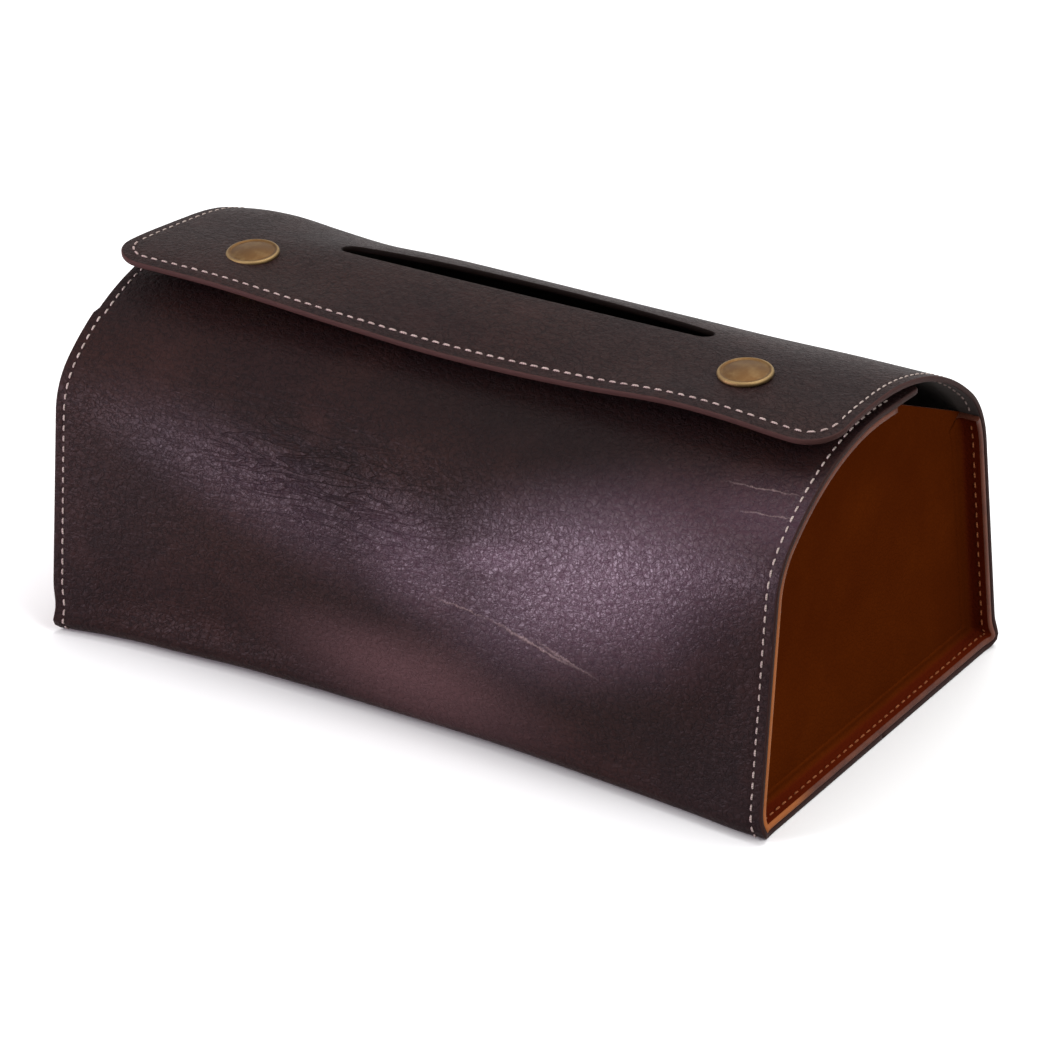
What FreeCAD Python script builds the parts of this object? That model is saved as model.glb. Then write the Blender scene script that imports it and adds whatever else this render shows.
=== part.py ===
"""Leather tissue box cover with a snap-fastened top flap.

One long strip of leather makes the front, the bottom, the back and the flap that
laps over the front margin. Two tray-shaped end panels close the ends, and two
spring snaps hold the flap down. Millimetres; X runs along the box, -Y is the
front, +Z is up. The origin is the centre of the base, on the table.
"""
import FreeCAD, Part
import math
import os
import re
import Sketcher

Vector = FreeCAD.Vector

SIZES = {
    # the strip and its folded profile
    "box_length": 230.0,            # end to end along X
    "box_depth": 133.0,             # front to back at the table
    "margin_height": 98.9,          # top of the front panel's curved margin
    "leather": 1.1,                 # outer layer
    "lining": 0.5,                  # inner layer
    "bottom_radius": 5.0,           # folds along the bottom edges
    "front_lean": 6.5,              # degrees off upright
    "back_lean": 9.0,               # degrees off upright
    "front_shoulder_radius": 22.0,
    "crown_radius": 70.0,           # front panel's top, above the shoulder
    "crown_forward": 5.0,           # crown's highest line, ahead of the middle
    "margin_fall": 2.0,             # degrees, where the margin runs back under the flap
    "margin_reach": 16.0,           # margin's back edge, behind the middle
    "back_shoulder_radius": 29.0,
    "back_shoulder_drop": 36.4,     # where the back starts to curve, below the flap's crest
    # the flap
    "lap_gap": 3.0,                 # air between margin and flap, which the snaps fill
    "crest_forward": 5.0,           # flap's highest line, ahead of the middle
    "brow_radius": 200.0,           # flap's curve ahead of its crest
    "flap_reach": 34.5,             # flap's front edge, ahead of the middle
    "flap_corner": 11.0,
    "fold_drop": 27.5,              # the flap's fold line, below its crest
    "fold_gap": 0.3,
    # tissue slot in the flap and the wider notch in the margin below it
    "slot_length": 120.0,
    "slot_width": 11.5,
    "slot_end_radius": 3.5,
    "slot_back": 2.6,               # slot's centre line, behind the middle
    "notch_side": 6.0,              # notch beyond the slot's tips
    "notch_front": 5.0,             # notch ahead of the slot
    "notch_corner": 7.0,
    # end panels
    "panel": 1.8,
    "panel_recess": 6.5,            # panel's face, in from the strip's edge
    "panel_bend": 1.5,              # radius inside the panel's turned edge
    "panel_top_back": 4.0,          # where the panel's straight top edge meets the margin
    # spring snaps
    "snap_inset": 35.85,            # snap's axis, in from the strip's end
    "snap_forward": 13.4,           # ahead of the middle
    "seat": 0.3,                    # how deep the metal presses into the leather
    "sheet_metal": 0.4,
    "cap_radius": 7.62,
    "cap_height": 1.7,              # cap's crown above the leather
    "cap_rim": 0.8,                 # height of the cap's rolled rim
    "shank_radius": 1.5,
    "socket_radius": 6.0,
    "mouth_radius": 3.1,            # socket's opening for the stud
    "wire": 0.6,                    # spring's wire
    "stud_base_radius": 5.5,
    "stud_neck_radius": 1.95,
    "stud_head_radius": 2.35,
    "post_radius": 5.0,
    "metal_gap": 0.3,               # running clearance between the snap's halves
    "hole_gap": 0.1,                # holes over shanks, and seats round the metal
}

doc = FreeCAD.newDocument("tissue_box_cover")
sheet = doc.addObject("Spreadsheet::Sheet", "Sizes")
for row, (alias, number) in enumerate(SIZES.items(), 1):
    sheet.set("A%d" % row, alias)
    sheet.set("B%d" % row, str(number))
    sheet.setAlias("B%d" % row, alias)
doc.recompute()


def bound(formula):
    """A formula in the sheet's own words as a FreeCAD expression."""
    return re.sub(r"[a-z_]+", lambda word: "Sizes." + word[0] if word[0] in SIZES else word[0], formula)


def number(formula):
    """What a formula in the sheet's words comes to now, as a plain number."""
    result = sheet.evalExpression(bound(formula))
    return float(getattr(result, "Value", result))


def bind(thing, **formulas):
    """Tie properties to the sheet; a double underscore stands for a dot."""
    for place, formula in formulas.items():
        thing.setExpression(place.replace("__", "."), bound(formula))


# Formulas that several pieces share.
SHELL = "(leather + lining)"
CREST_HEIGHT = "(margin_height + lap_gap + %s)" % SHELL
FOLD_HEIGHT = "(%s - fold_drop)" % CREST_HEIGHT
BACK_TURN_HEIGHT = "(%s - back_shoulder_drop)" % CREST_HEIGHT
BACK_TURN_Y = ("(box_depth / 2 - bottom_radius + bottom_radius * cos(back_lean * 1deg)"
               " - (%s - bottom_radius - bottom_radius * sin(back_lean * 1deg))"
               " * tan(back_lean * 1deg))" % BACK_TURN_HEIGHT)
BACK_CENTRE_Y = "(%s - back_shoulder_radius * cos(back_lean * 1deg))" % BACK_TURN_Y
BACK_CENTRE_HEIGHT = "(%s - back_shoulder_radius * sin(back_lean * 1deg))" % BACK_TURN_HEIGHT
FOLD_SINE = "((%s - %s) / back_shoulder_radius)" % (FOLD_HEIGHT, BACK_CENTRE_HEIGHT)
FLAP_START_SINE = "(%s + fold_gap / back_shoulder_radius)" % FOLD_SINE
INNER_X = "(box_length / 2 - panel_recess - panel)"
CROWN_DROP = "(crown_radius - sqrt(crown_radius^2 - (snap_forward - crown_forward)^2))"
BROW_DROP = "(brow_radius - sqrt(brow_radius^2 - (snap_forward - crest_forward)^2))"
SNAP_HEIGHT = "(margin_height - %s)" % CROWN_DROP
SNAP_TILT = ("((asin((snap_forward - crown_forward) / crown_radius)"
             " + asin((snap_forward - crest_forward) / brow_radius)) / 2)")
SNAP_RISE = "(lap_gap + %s - %s)" % (CROWN_DROP, BROW_DROP)

# ------------------------------------------------------------------ sketch helpers
SECTION = FreeCAD.Rotation(Vector(0, 1, 0), Vector(0, 0, 1), Vector(1, 0, 0), "XYZ")


def sketch_across(name, x="0"):
    """A sketch across the box: its x is the box's Y, its y is the box's Z."""
    sketch = doc.addObject("Sketcher::SketchObject", name)
    sketch.Placement = FreeCAD.Placement(Vector(number(x), 0, 0), SECTION)
    bind(sketch, Placement__Base__x=x)
    return sketch


def dimension(sketch, kind, formula, *points):
    """A driving dimension whose value is a formula in the sheet's words."""
    value = number(formula)
    expression = bound(formula)
    if kind == "Angle":
        value = math.radians(value)
        expression = "(%s) * 1deg" % expression
    index = sketch.addConstraint(Sketcher.Constraint(kind, *points, value))
    sketch.setExpression("Constraints[%d]" % index, expression)


def place_point(sketch, item, end, across, up):
    """Fix a point of the sketch by its distances from the origin."""
    dimension(sketch, "DistanceX", across, -1, 1, item, end)
    dimension(sketch, "DistanceY", up, -1, 1, item, end)


def line(start, end):
    return Part.LineSegment(Vector(*start), Vector(*end))


def arc(centre, radius, start_angle, end_angle):
    circle = Part.Circle(Vector(*centre), Vector(0, 0, 1), radius)
    return Part.ArcOfCircle(circle, start_angle, end_angle)


def around(centre, radius, angle):
    return (centre[0] + radius * math.cos(angle), centre[1] + radius * math.sin(angle))


def join_smoothly(sketch, items):
    """Tangent joints between an item's end and the next item's start."""
    for before, after in zip(items, items[1:]):
        sketch.addConstraint(Sketcher.Constraint("Tangent", before, 2, after, 1))


def add_chain(sketch, pieces):
    """Lines and arcs that run smoothly from one to the next."""
    items = [sketch.addGeometry(piece, False) for piece in pieces]
    join_smoothly(sketch, items)
    return items


# ------------------------------------------------------------------ the strip's path
def add_case_path(sketch, inset, reach="margin_reach"):
    """The strip's profile from the margin's back edge, down the front, along the
    bottom and up the back to the flap's fold, at a depth inside the outer surface.
    Returns the first and the last item.
    """
    half = number("box_depth") / 2
    corner = number("bottom_radius")
    inside = number(inset)
    front_turn = math.radians(180 - number("front_lean"))
    back_turn = math.radians(number("back_lean"))
    crown_turn = math.radians(90 - number("margin_fall"))
    crown_radius = number("crown_radius")
    shoulder_radius = number("front_shoulder_radius")
    back_radius = number("back_shoulder_radius")
    front_corner = (corner - half, corner)
    back_corner = (half - corner, corner)
    crown = (-number("crown_forward"), number("margin_height") - crown_radius)
    back_centre = (number(BACK_CENTRE_Y), number(BACK_CENTRE_HEIGHT))
    fold_turn = math.asin(number(FOLD_SINE))

    # The front shoulder touches the crown from inside and the leaning front panel.
    span = crown_radius - shoulder_radius
    offset = (corner - shoulder_radius + math.cos(front_turn) * (front_corner[0] - crown[0])
              + math.sin(front_turn) * (front_corner[1] - crown[1]))
    shoulder_turn = front_turn - math.acos(offset / span)
    shoulder = around(crown, span, shoulder_turn)

    margin_start = around(crown, crown_radius - inside, crown_turn)
    fall = (number(reach) - margin_start[0]) * math.tan(math.radians(number("margin_fall")))
    margin_end = (number(reach), margin_start[1] - fall)
    fold = corner - inside
    down = math.radians(270)
    items = add_chain(sketch, (
        line(margin_end, margin_start),
        arc(crown, crown_radius - inside, crown_turn, shoulder_turn),
        arc(shoulder, shoulder_radius - inside, shoulder_turn, front_turn),
        line(around(shoulder, shoulder_radius - inside, front_turn), around(front_corner, fold, front_turn)),
        arc(front_corner, fold, front_turn, down),
        line(around(front_corner, fold, down), around(back_corner, fold, down)),
        arc(back_corner, fold, down, back_turn + math.radians(360)),
        line(around(back_corner, fold, back_turn), around(back_centre, back_radius - inside, back_turn)),
        arc(back_centre, back_radius - inside, back_turn, fold_turn),
    ))
    margin, crown_arc, front_shoulder, front, front_fold, bottom, back_fold, back, back_shoulder = items
    dimension(sketch, "Radius", "crown_radius - (%s)" % inset, crown_arc)
    dimension(sketch, "Radius", "front_shoulder_radius - (%s)" % inset, front_shoulder)
    dimension(sketch, "Radius", "bottom_radius - (%s)" % inset, front_fold)
    dimension(sketch, "Radius", "back_shoulder_radius - (%s)" % inset, back_shoulder)
    place_point(sketch, crown_arc, 3, "-crown_forward", "margin_height - crown_radius")
    place_point(sketch, front_fold, 3, "bottom_radius - box_depth / 2", "bottom_radius")
    place_point(sketch, back_fold, 3, "box_depth / 2 - bottom_radius", "bottom_radius")
    place_point(sketch, back_shoulder, 3, BACK_CENTRE_Y, BACK_CENTRE_HEIGHT)
    sketch.addConstraint(Sketcher.Constraint("Horizontal", bottom))
    dimension(sketch, "Angle", "180 - margin_fall", margin)
    dimension(sketch, "DistanceX", reach, -1, 1, margin, 1)
    dimension(sketch, "Angle", "-90 - front_lean", front)
    end_height = "%s + (back_shoulder_radius - (%s)) * %s" % (BACK_CENTRE_HEIGHT, inset, FOLD_SINE)
    dimension(sketch, "DistanceY", end_height, -1, 1, back_shoulder, 2)
    return margin, back_shoulder


def add_flap_path(sketch, inset):
    """The strip's profile from the fold, over the back shoulder and the crest, to
    the flap's front edge. Returns the first and the last item.
    """
    inside = number(inset)
    back_radius = number("back_shoulder_radius")
    back_centre = (number(BACK_CENTRE_Y), number(BACK_CENTRE_HEIGHT))
    start_turn = math.asin(number(FLAP_START_SINE))
    crest = (-number("crest_forward"), number(CREST_HEIGHT))
    brow_radius = number("brow_radius")

    # The top's arc is level at the crest and touches the back shoulder from outside.
    aside = back_centre[0] - crest[0]
    below = crest[1] - back_centre[1]
    top_radius = (aside ** 2 + below ** 2 - back_radius ** 2) / (2 * (below - back_radius))
    top = (crest[0], crest[1] - top_radius)
    top_turn = math.atan2(back_centre[1] - top[1], aside)
    brow = (crest[0], crest[1] - brow_radius)
    up = math.radians(90)
    edge_turn = math.acos((number("-flap_reach") - crest[0]) / (brow_radius - inside))
    back_shoulder, top_arc, brow_arc = add_chain(sketch, (
        arc(back_centre, back_radius - inside, start_turn, top_turn),
        arc(top, top_radius - inside, top_turn, up),
        arc(brow, brow_radius - inside, up, edge_turn),
    ))
    dimension(sketch, "Radius", "back_shoulder_radius - (%s)" % inset, back_shoulder)
    dimension(sketch, "Radius", "brow_radius - (%s)" % inset, brow_arc)
    place_point(sketch, back_shoulder, 3, BACK_CENTRE_Y, BACK_CENTRE_HEIGHT)
    place_point(sketch, brow_arc, 3, "-crest_forward", "%s - brow_radius" % CREST_HEIGHT)
    start_height = "%s + (back_shoulder_radius - (%s)) * %s" % (BACK_CENTRE_HEIGHT, inset, FLAP_START_SINE)
    dimension(sketch, "DistanceY", start_height, -1, 1, back_shoulder, 1)
    dimension(sketch, "DistanceX", "-crest_forward", -1, 1, top_arc, 2)
    dimension(sketch, "DistanceX", "-flap_reach", -1, 1, brow_arc, 2)
    return back_shoulder, brow_arc


def add_closing_line(sketch, from_item, from_end, to_item, to_end):
    """A straight edge between two ends that are already placed."""
    start = sketch.getPoint(from_item, from_end)
    end = sketch.getPoint(to_item, to_end)
    closing = sketch.addGeometry(Part.LineSegment(start, end), False)
    sketch.addConstraint(Sketcher.Constraint("Coincident", from_item, from_end, closing, 1))
    sketch.addConstraint(Sketcher.Constraint("Coincident", closing, 2, to_item, to_end))


def band(name, add_path, outer_depth, inner_depth, x="0", *reach):
    """The section of one layer of the strip, between two depths inside its outer surface."""
    sketch = sketch_across(name, x)
    outer_first, outer_last = add_path(sketch, outer_depth, *reach)
    inner_first, inner_last = add_path(sketch, inner_depth, *reach)
    add_closing_line(sketch, outer_first, 1, inner_first, 1)
    add_closing_line(sketch, outer_last, 2, inner_last, 2)
    return sketch


# ------------------------------------------------------------------ solids
def extruded(name, base, length, symmetric=False):
    solid = doc.addObject("Part::Extrusion", name)
    solid.Base = base
    solid.DirMode = "Normal"
    solid.Solid = True
    solid.Symmetric = symmetric
    solid.LengthFwd = number(length)
    bind(solid, LengthFwd=length)
    return solid


def cut(name, base, *tools):
    tool = tools[0]
    if len(tools) > 1:
        tool = doc.addObject("Part::MultiFuse", name + "_tools")
        tool.Shapes = list(tools)
    result = doc.addObject("Part::Cut", name)
    result.Base = base
    result.Tool = tool
    return result


def common(name, base, tool):
    result = doc.addObject("Part::Common", name)
    result.Base = base
    result.Tool = tool
    return result


def plan_prism(name, draw, low, high):
    """A prism standing on a plan outline, between two heights."""
    sketch = doc.addObject("Sketcher::SketchObject", name + "_plan")
    sketch.Placement = FreeCAD.Placement(Vector(0, 0, number(low)), FreeCAD.Rotation())
    bind(sketch, Placement__Base__z=low)
    draw(sketch)
    return extruded(name, sketch, "(%s) - (%s)" % (high, low))


def draw_tongue(sketch, side, front, back, corner):
    """A plan outline with a straight back edge and two rounded front corners."""
    x, near, far, round_off = (number(formula) for formula in (side, front, back, corner))
    half_turn = math.pi
    items = add_chain(sketch, (
        line((-x, far), (-x, near + round_off)),
        arc((round_off - x, near + round_off), round_off, half_turn, 1.5 * half_turn),
        line((round_off - x, near), (x - round_off, near)),
        arc((x - round_off, near + round_off), round_off, 1.5 * half_turn, 2 * half_turn),
        line((x, near + round_off), (x, far)),
    ))
    left, left_corner, _, right_corner, right = items
    add_closing_line(sketch, right, 2, left, 1)
    sketch.addConstraint(Sketcher.Constraint("Horizontal", left, 1, right, 2))
    sketch.addConstraint(Sketcher.Constraint("Vertical", left))
    sketch.addConstraint(Sketcher.Constraint("Vertical", right))
    dimension(sketch, "DistanceY", back, -1, 1, left, 1)
    dimension(sketch, "Radius", corner, left_corner)
    dimension(sketch, "Radius", corner, right_corner)
    place_point(sketch, left_corner, 3, "(%s) - (%s)" % (corner, side), "(%s) + (%s)" % (front, corner))
    place_point(sketch, right_corner, 3, "(%s) - (%s)" % (side, corner), "(%s) + (%s)" % (front, corner))


def draw_slot_plan(sketch):
    """The lens-shaped slot: two long bowed sides with small round tips."""
    tip = number("slot_end_radius")
    reach = number("slot_length") / 2 - tip
    half_width = number("slot_width") / 2
    middle = number("slot_back")
    side_radius = (reach ** 2 + half_width ** 2 - tip ** 2) / (2 * (half_width - tip))
    sag = side_radius - half_width
    turn = math.atan2(sag, reach)
    half_turn = math.pi
    items = add_chain(sketch, (
        arc((0, middle - sag), side_radius, turn, half_turn - turn),
        arc((-reach, middle), tip, half_turn - turn, half_turn + turn),
        arc((0, middle + sag), side_radius, half_turn + turn, 2 * half_turn - turn),
        arc((reach, middle), tip, -turn, turn),
    ))
    join_smoothly(sketch, [items[3], items[0]])
    far, left_tip, near, right_tip = items
    place_point(sketch, left_tip, 3, "slot_end_radius - slot_length / 2", "slot_back")
    place_point(sketch, right_tip, 3, "slot_length / 2 - slot_end_radius", "slot_back")
    dimension(sketch, "Radius", "slot_end_radius", left_tip)
    dimension(sketch, "Radius", "slot_end_radius", right_tip)
    side_formula = ("((slot_length / 2 - slot_end_radius)^2 + (slot_width / 2)^2 - slot_end_radius^2)"
                    " / (slot_width - 2 * slot_end_radius)")
    dimension(sketch, "Radius", side_formula, far)
    dimension(sketch, "Radius", side_formula, near)


# ------------------------------------------------------------------ round metal pieces
def at_snap(thing, side, height="0"):
    """Stand a piece on a snap's axis, at a height above the margin's surface."""
    x = "%d * (box_length / 2 - snap_inset)" % side
    y = "-snap_forward - (%s) * sin(%s)" % (height, SNAP_TILT)
    z = "%s + (%s) * cos(%s)" % (SNAP_HEIGHT, height, SNAP_TILT)
    tilt = FreeCAD.Rotation(Vector(1, 0, 0), number(SNAP_TILT))
    thing.Placement = FreeCAD.Placement(Vector(number(x), number(y), number(z)), tilt)
    bind(thing, Placement__Base__x=x, Placement__Base__y=y, Placement__Base__z=z)
    bind(thing, Placement__Rotation__Angle=SNAP_TILT)


def snap_drill(name, side, radius, low, high):
    """A cylinder on a snap's axis that cuts a hole or a seat."""
    drill = doc.addObject("Part::Cylinder", name)
    drill.Radius = number(radius)
    drill.Height = number("(%s) - (%s)" % (high, low))
    bind(drill, Radius=radius, Height="(%s) - (%s)" % (high, low))
    at_snap(drill, side, low)
    return drill


def origin_plane(body, role):
    return next(plane for plane in body.Origin.OriginFeatures if plane.Role == role)


def sketch_in(body, name, role):
    sketch = body.newObject("Sketcher::SketchObject", name)
    sketch.AttachmentSupport = (origin_plane(body, role), [""])
    sketch.MapMode = "FlatFace"
    return sketch


def turned(label, side, outline, domed=()):
    """A piece turned about a snap's axis from its half section.

    outline lists (radius, height) formulas anticlockwise; an edge whose index is in
    domed is an arc centred on the axis instead of a straight line.
    """
    body = doc.addObject("PartDesign::Body", label)
    sketch = sketch_in(body, label + "_section", "XZ_Plane")
    corners = [(number(radius), number(height)) for radius, height in outline]
    items = []
    for index, (start, end) in enumerate(zip(corners, corners[1:] + corners[:1])):
        if index in domed:
            centre = ((end[0] ** 2 + end[1] ** 2 - start[0] ** 2 - start[1] ** 2)
                      / (2 * (end[1] - start[1])))
            radius = math.hypot(start[0], start[1] - centre)
            turns = [math.atan2(point[1] - centre, point[0]) for point in (start, end)]
            items.append(sketch.addGeometry(arc((0, centre), radius, *turns), False))
            sketch.addConstraint(Sketcher.Constraint("PointOnObject", items[-1], 3, -2))
        else:
            items.append(sketch.addGeometry(line(start, end), False))
    for before, after in zip(items, items[1:] + items[:1]):
        sketch.addConstraint(Sketcher.Constraint("Coincident", before, 2, after, 1))
    for item, (radius, height) in zip(items, outline):
        if radius == "0":
            sketch.addConstraint(Sketcher.Constraint("PointOnObject", item, 1, -2))
        else:
            dimension(sketch, "DistanceX", radius, -1, 1, item, 1)
        dimension(sketch, "DistanceY", height, -1, 1, item, 1)
    turning = body.newObject("PartDesign::Revolution", label + "_turning")
    turning.Profile = sketch
    turning.ReferenceAxis = (sketch, ["V_Axis"])
    turning.Angle = 360
    at_snap(body, side)
    return body


# ------------------------------------------------------------------ the leather pieces
LEFT, RIGHT = -1, 1
SIDES = (("left", LEFT), ("right", RIGHT))
ABOVE = "(%s + box_depth)" % CREST_HEIGHT
FLAP_TOP = "(%s + %s)" % (SNAP_RISE, SHELL)
CAP_UNDER = "(%s - seat)" % FLAP_TOP
SOCKET_TOP = "(%s + seat)" % SNAP_RISE
STUD_BASE_TOP = "(2 * sheet_metal - seat)"
SOCKET_BOTTOM = "(%s + metal_gap)" % STUD_BASE_TOP
SOCKET_ROOF = "(%s - sheet_metal)" % SOCKET_TOP
CLINCH_BOTTOM = "(%s - sheet_metal)" % SOCKET_ROOF
STUD_TOP = "(%s - metal_gap)" % CLINCH_BOTTOM
POST_FACE = "(seat - %s)" % SHELL


def draw_notch(sketch):
    """The margin's notch, wider than the slot above it and open to the margin's back edge."""
    front = "slot_back - slot_width / 2 - notch_front"
    draw_tongue(sketch, "slot_length / 2 + notch_side", front, "margin_reach + notch_side", "notch_corner")


def draw_flap(sketch):
    """The flap seen from above, with its two front corners rounded."""
    draw_tongue(sketch, "box_length / 2", "-flap_reach", "box_depth / 2", "flap_corner")


def snap_tools(prefix, **drills):
    """Holes right through a layer and, where the metal presses in, flat seats."""
    return [snap_drill("_".join((prefix, word, name)), side, *drill)
            for word, side in SIDES for name, drill in drills.items()]


def strip_layer(label, add_path, outer_depth, inner_depth):
    """One layer of the strip over the box's whole length."""
    section = band(label + "_section", add_path, outer_depth, inner_depth)
    return extruded(label + "_strip", section, "box_length", True)


notch_low = "margin_height - front_shoulder_radius"
notch = plan_prism("margin_notch", draw_notch, notch_low, CREST_HEIGHT)
slot = plan_prism("tissue_slot", draw_slot_plan, "margin_height", ABOVE)
flap_plan = plan_prism("flap_plan", draw_flap, "0", ABOVE)
hole_radius = "shank_radius + hole_gap"
through_margin = (hole_radius, "-3 * %s" % SHELL, "lap_gap / 2")
through_flap = (hole_radius, "lap_gap / 2", "%s + %s" % (FLAP_TOP, SHELL))
stud_seat = ("stud_base_radius + hole_gap", "-seat", "lap_gap / 2")
post_seat = ("post_radius + hole_gap", "-3 * %s" % SHELL, POST_FACE)
cap_seat = ("cap_radius + hole_gap", CAP_UNDER, "%s + %s" % (FLAP_TOP, SHELL))
socket_seat = ("socket_radius + hole_gap", "lap_gap / 2", SOCKET_TOP)

wrap = strip_layer("body_wrap", add_case_path, "0", "leather")
wrap_tools = snap_tools("wrap", hole=through_margin, stud_seat=stud_seat, post_seat=post_seat)
cut("body_wrap", wrap, notch, *wrap_tools)
lining = strip_layer("body_lining", add_case_path, "leather", SHELL)
lining_tools = snap_tools("lining", hole=through_margin, post_seat=post_seat)
cut("body_lining", lining, notch, *lining_tools)
flap = common("flap_blank", strip_layer("top_flap", add_flap_path, "0", "leather"), flap_plan)
flap_tools = snap_tools("flap", hole=through_flap, cap_seat=cap_seat, socket_seat=socket_seat)
cut("top_flap", flap, slot, *flap_tools)
flap_lining = strip_layer("flap_lining", add_flap_path, "leather", SHELL)
flap_inner = common("flap_lining_blank", flap_lining, flap_plan)
flap_lining_tools = snap_tools("flap_lining", hole=through_flap, socket_seat=socket_seat)
cut("flap_lining", flap_inner, slot, *flap_lining_tools)

# ------------------------------------------------------------------ the end panels
SAME_PLACE = 0.001      # mm
SAME_SLOPE = 1.0        # degrees


def edges_at(shape, x):
    """The names of a shape's edges that lie wholly at one X."""
    return ["Edge%d" % index for index, edge in enumerate(shape.Edges, 1)
            if all(abs(vertex.X - x) < SAME_PLACE for vertex in edge.Vertexes)]


def is_top_edge(edge):
    """True for a straight edge along the panel's sloping top."""
    start, end = (vertex.Point for vertex in edge.Vertexes)
    fall = math.degrees(math.atan2(abs(end.z - start.z), abs(end.y - start.y)))
    level = number("margin_fall") + SAME_SLOPE
    upright = 90 - max(number("front_lean"), number("back_lean")) - SAME_SLOPE
    return edge.Curve.TypeId == "Part::GeomLine" and level < fall < upright


outline = sketch_across("end_outline", INNER_X)
first, last = add_case_path(outline, SHELL, "panel_top_back")
add_closing_line(outline, last, 2, first, 1)
plate = extruded("end_plate", outline, "panel")
flange_section = band("end_flange_section", add_case_path, SHELL, "%s + panel" % SHELL, INNER_X,
                      "panel_top_back")
flange = extruded("end_flange", flange_section, "panel + panel_recess")
tray = doc.addObject("Part::MultiFuse", "end_tray")
tray.Shapes = [plate, flange]
doc.recompute()

right_panel = doc.addObject("PartDesign::Body", "right_end_panel")
right_panel.BaseFeature = tray
doc.recompute()
for name, radius, x in (("inner_bend", "panel_bend", "%s + panel" % INNER_X),
                        ("outer_bend", "panel", INNER_X)):
    base = right_panel.Tip
    bend = right_panel.newObject("PartDesign::Fillet", name)
    shape = base.Shape
    names = [edge for edge in edges_at(shape, number(x)) if not is_top_edge(shape.getElement(edge))]
    bend.Base = (base, names)
    bend.Radius = number(radius)
    bind(bend, Radius=radius)
    doc.recompute()

left_panel = doc.addObject("Part::Mirroring", "left_end_panel")
left_panel.Source = right_panel
left_panel.Normal = Vector(1, 0, 0)

# ------------------------------------------------------------------ the spring snaps
CAP = (
    ("0", CLINCH_BOTTOM),
    ("shank_radius + 2 * sheet_metal", CLINCH_BOTTOM),
    ("shank_radius + 2 * sheet_metal", SOCKET_ROOF),
    ("shank_radius", SOCKET_ROOF),
    ("shank_radius", CAP_UNDER),
    ("cap_radius - seat", CAP_UNDER),
    ("cap_radius", "%s + seat" % CAP_UNDER),
    ("cap_radius", "%s + cap_rim" % CAP_UNDER),
    ("0", "%s + cap_height" % FLAP_TOP),
)
CAP_DOME = 7
SOCKET = (
    ("mouth_radius", SOCKET_BOTTOM),
    ("socket_radius", SOCKET_BOTTOM),
    ("socket_radius", SOCKET_TOP),
    ("shank_radius + hole_gap", SOCKET_TOP),
    ("shank_radius + hole_gap", SOCKET_ROOF),
    ("socket_radius - sheet_metal", SOCKET_ROOF),
    ("socket_radius - sheet_metal", "%s + sheet_metal" % SOCKET_BOTTOM),
    ("mouth_radius", "%s + sheet_metal" % SOCKET_BOTTOM),
)
STUD = (
    (hole_radius, "-seat"),
    ("stud_base_radius", "-seat"),
    ("stud_base_radius", STUD_BASE_TOP),
    ("stud_neck_radius", STUD_BASE_TOP),
    ("stud_neck_radius", "%s - 3 * sheet_metal" % STUD_TOP),
    ("stud_head_radius", "%s - 2 * sheet_metal" % STUD_TOP),
    ("stud_head_radius", "%s - sheet_metal" % STUD_TOP),
    ("0", STUD_TOP),
    ("0", "%s - 2 * sheet_metal" % STUD_TOP),
    (hole_radius, "%s - 2 * sheet_metal" % STUD_TOP),
)
STUD_DOME = 6
POST = (
    ("0", "%s - sheet_metal" % POST_FACE),
    ("post_radius", "%s - sheet_metal" % POST_FACE),
    ("post_radius", POST_FACE),
    ("shank_radius", POST_FACE),
    ("shank_radius", "%s - 2 * sheet_metal - hole_gap" % STUD_TOP),
    ("0", "%s - 2 * sheet_metal - hole_gap" % STUD_TOP),
)


def hairpin_spring(label, side):
    """A bent wire in the socket whose two legs pass either side of the stud's neck."""
    body = doc.addObject("PartDesign::Body", label)
    leg = "stud_head_radius + metal_gap + wire / 2"
    end = "socket_radius / 2"
    height = "%s + sheet_metal + hole_gap + wire / 2" % SOCKET_BOTTOM
    legs = sketch_in(body, label + "_path", "XY_Plane")
    legs.AttachmentOffset = FreeCAD.Placement(Vector(0, 0, number(height)), FreeCAD.Rotation())
    bind(legs, AttachmentOffset__Base__z=height)
    reach = number(leg)
    tail = -number(end)
    items = add_chain(legs, (
        line((reach, tail), (reach, 0)),
        arc((0, 0), reach, 0, math.pi),
        line((-reach, 0), (-reach, tail)),
    ))
    place_point(legs, items[0], 1, leg, "-(%s)" % end)
    place_point(legs, items[2], 2, "-(%s)" % leg, "-(%s)" % end)
    legs.addConstraint(Sketcher.Constraint("Coincident", items[1], 3, -1, 1))
    section = sketch_in(body, label + "_wire", "XZ_Plane")
    section.AttachmentOffset = FreeCAD.Placement(Vector(0, 0, -tail), FreeCAD.Rotation())
    bind(section, AttachmentOffset__Base__z=end)
    circle = section.addGeometry(Part.Circle(Vector(reach, number(height), 0), Vector(0, 0, 1),
                                             number("wire / 2")), False)
    dimension(section, "Radius", "wire / 2", circle)
    place_point(section, circle, 3, leg, height)
    doc.recompute()
    pipe = body.newObject("PartDesign::AdditivePipe", label + "_bend")
    pipe.Profile = section
    pipe.Spine = (legs, ["Edge1", "Edge2", "Edge3"])
    at_snap(body, side)


for word, side in SIDES:
    turned(word + "_snap_cap", side, CAP, (CAP_DOME,))
    turned(word + "_snap_socket", side, SOCKET)
    turned(word + "_snap_stud", side, STUD, (STUD_DOME,))
    turned(word + "_snap_post", side, POST)
    hairpin_spring(word + "_snap_spring", side)

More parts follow.
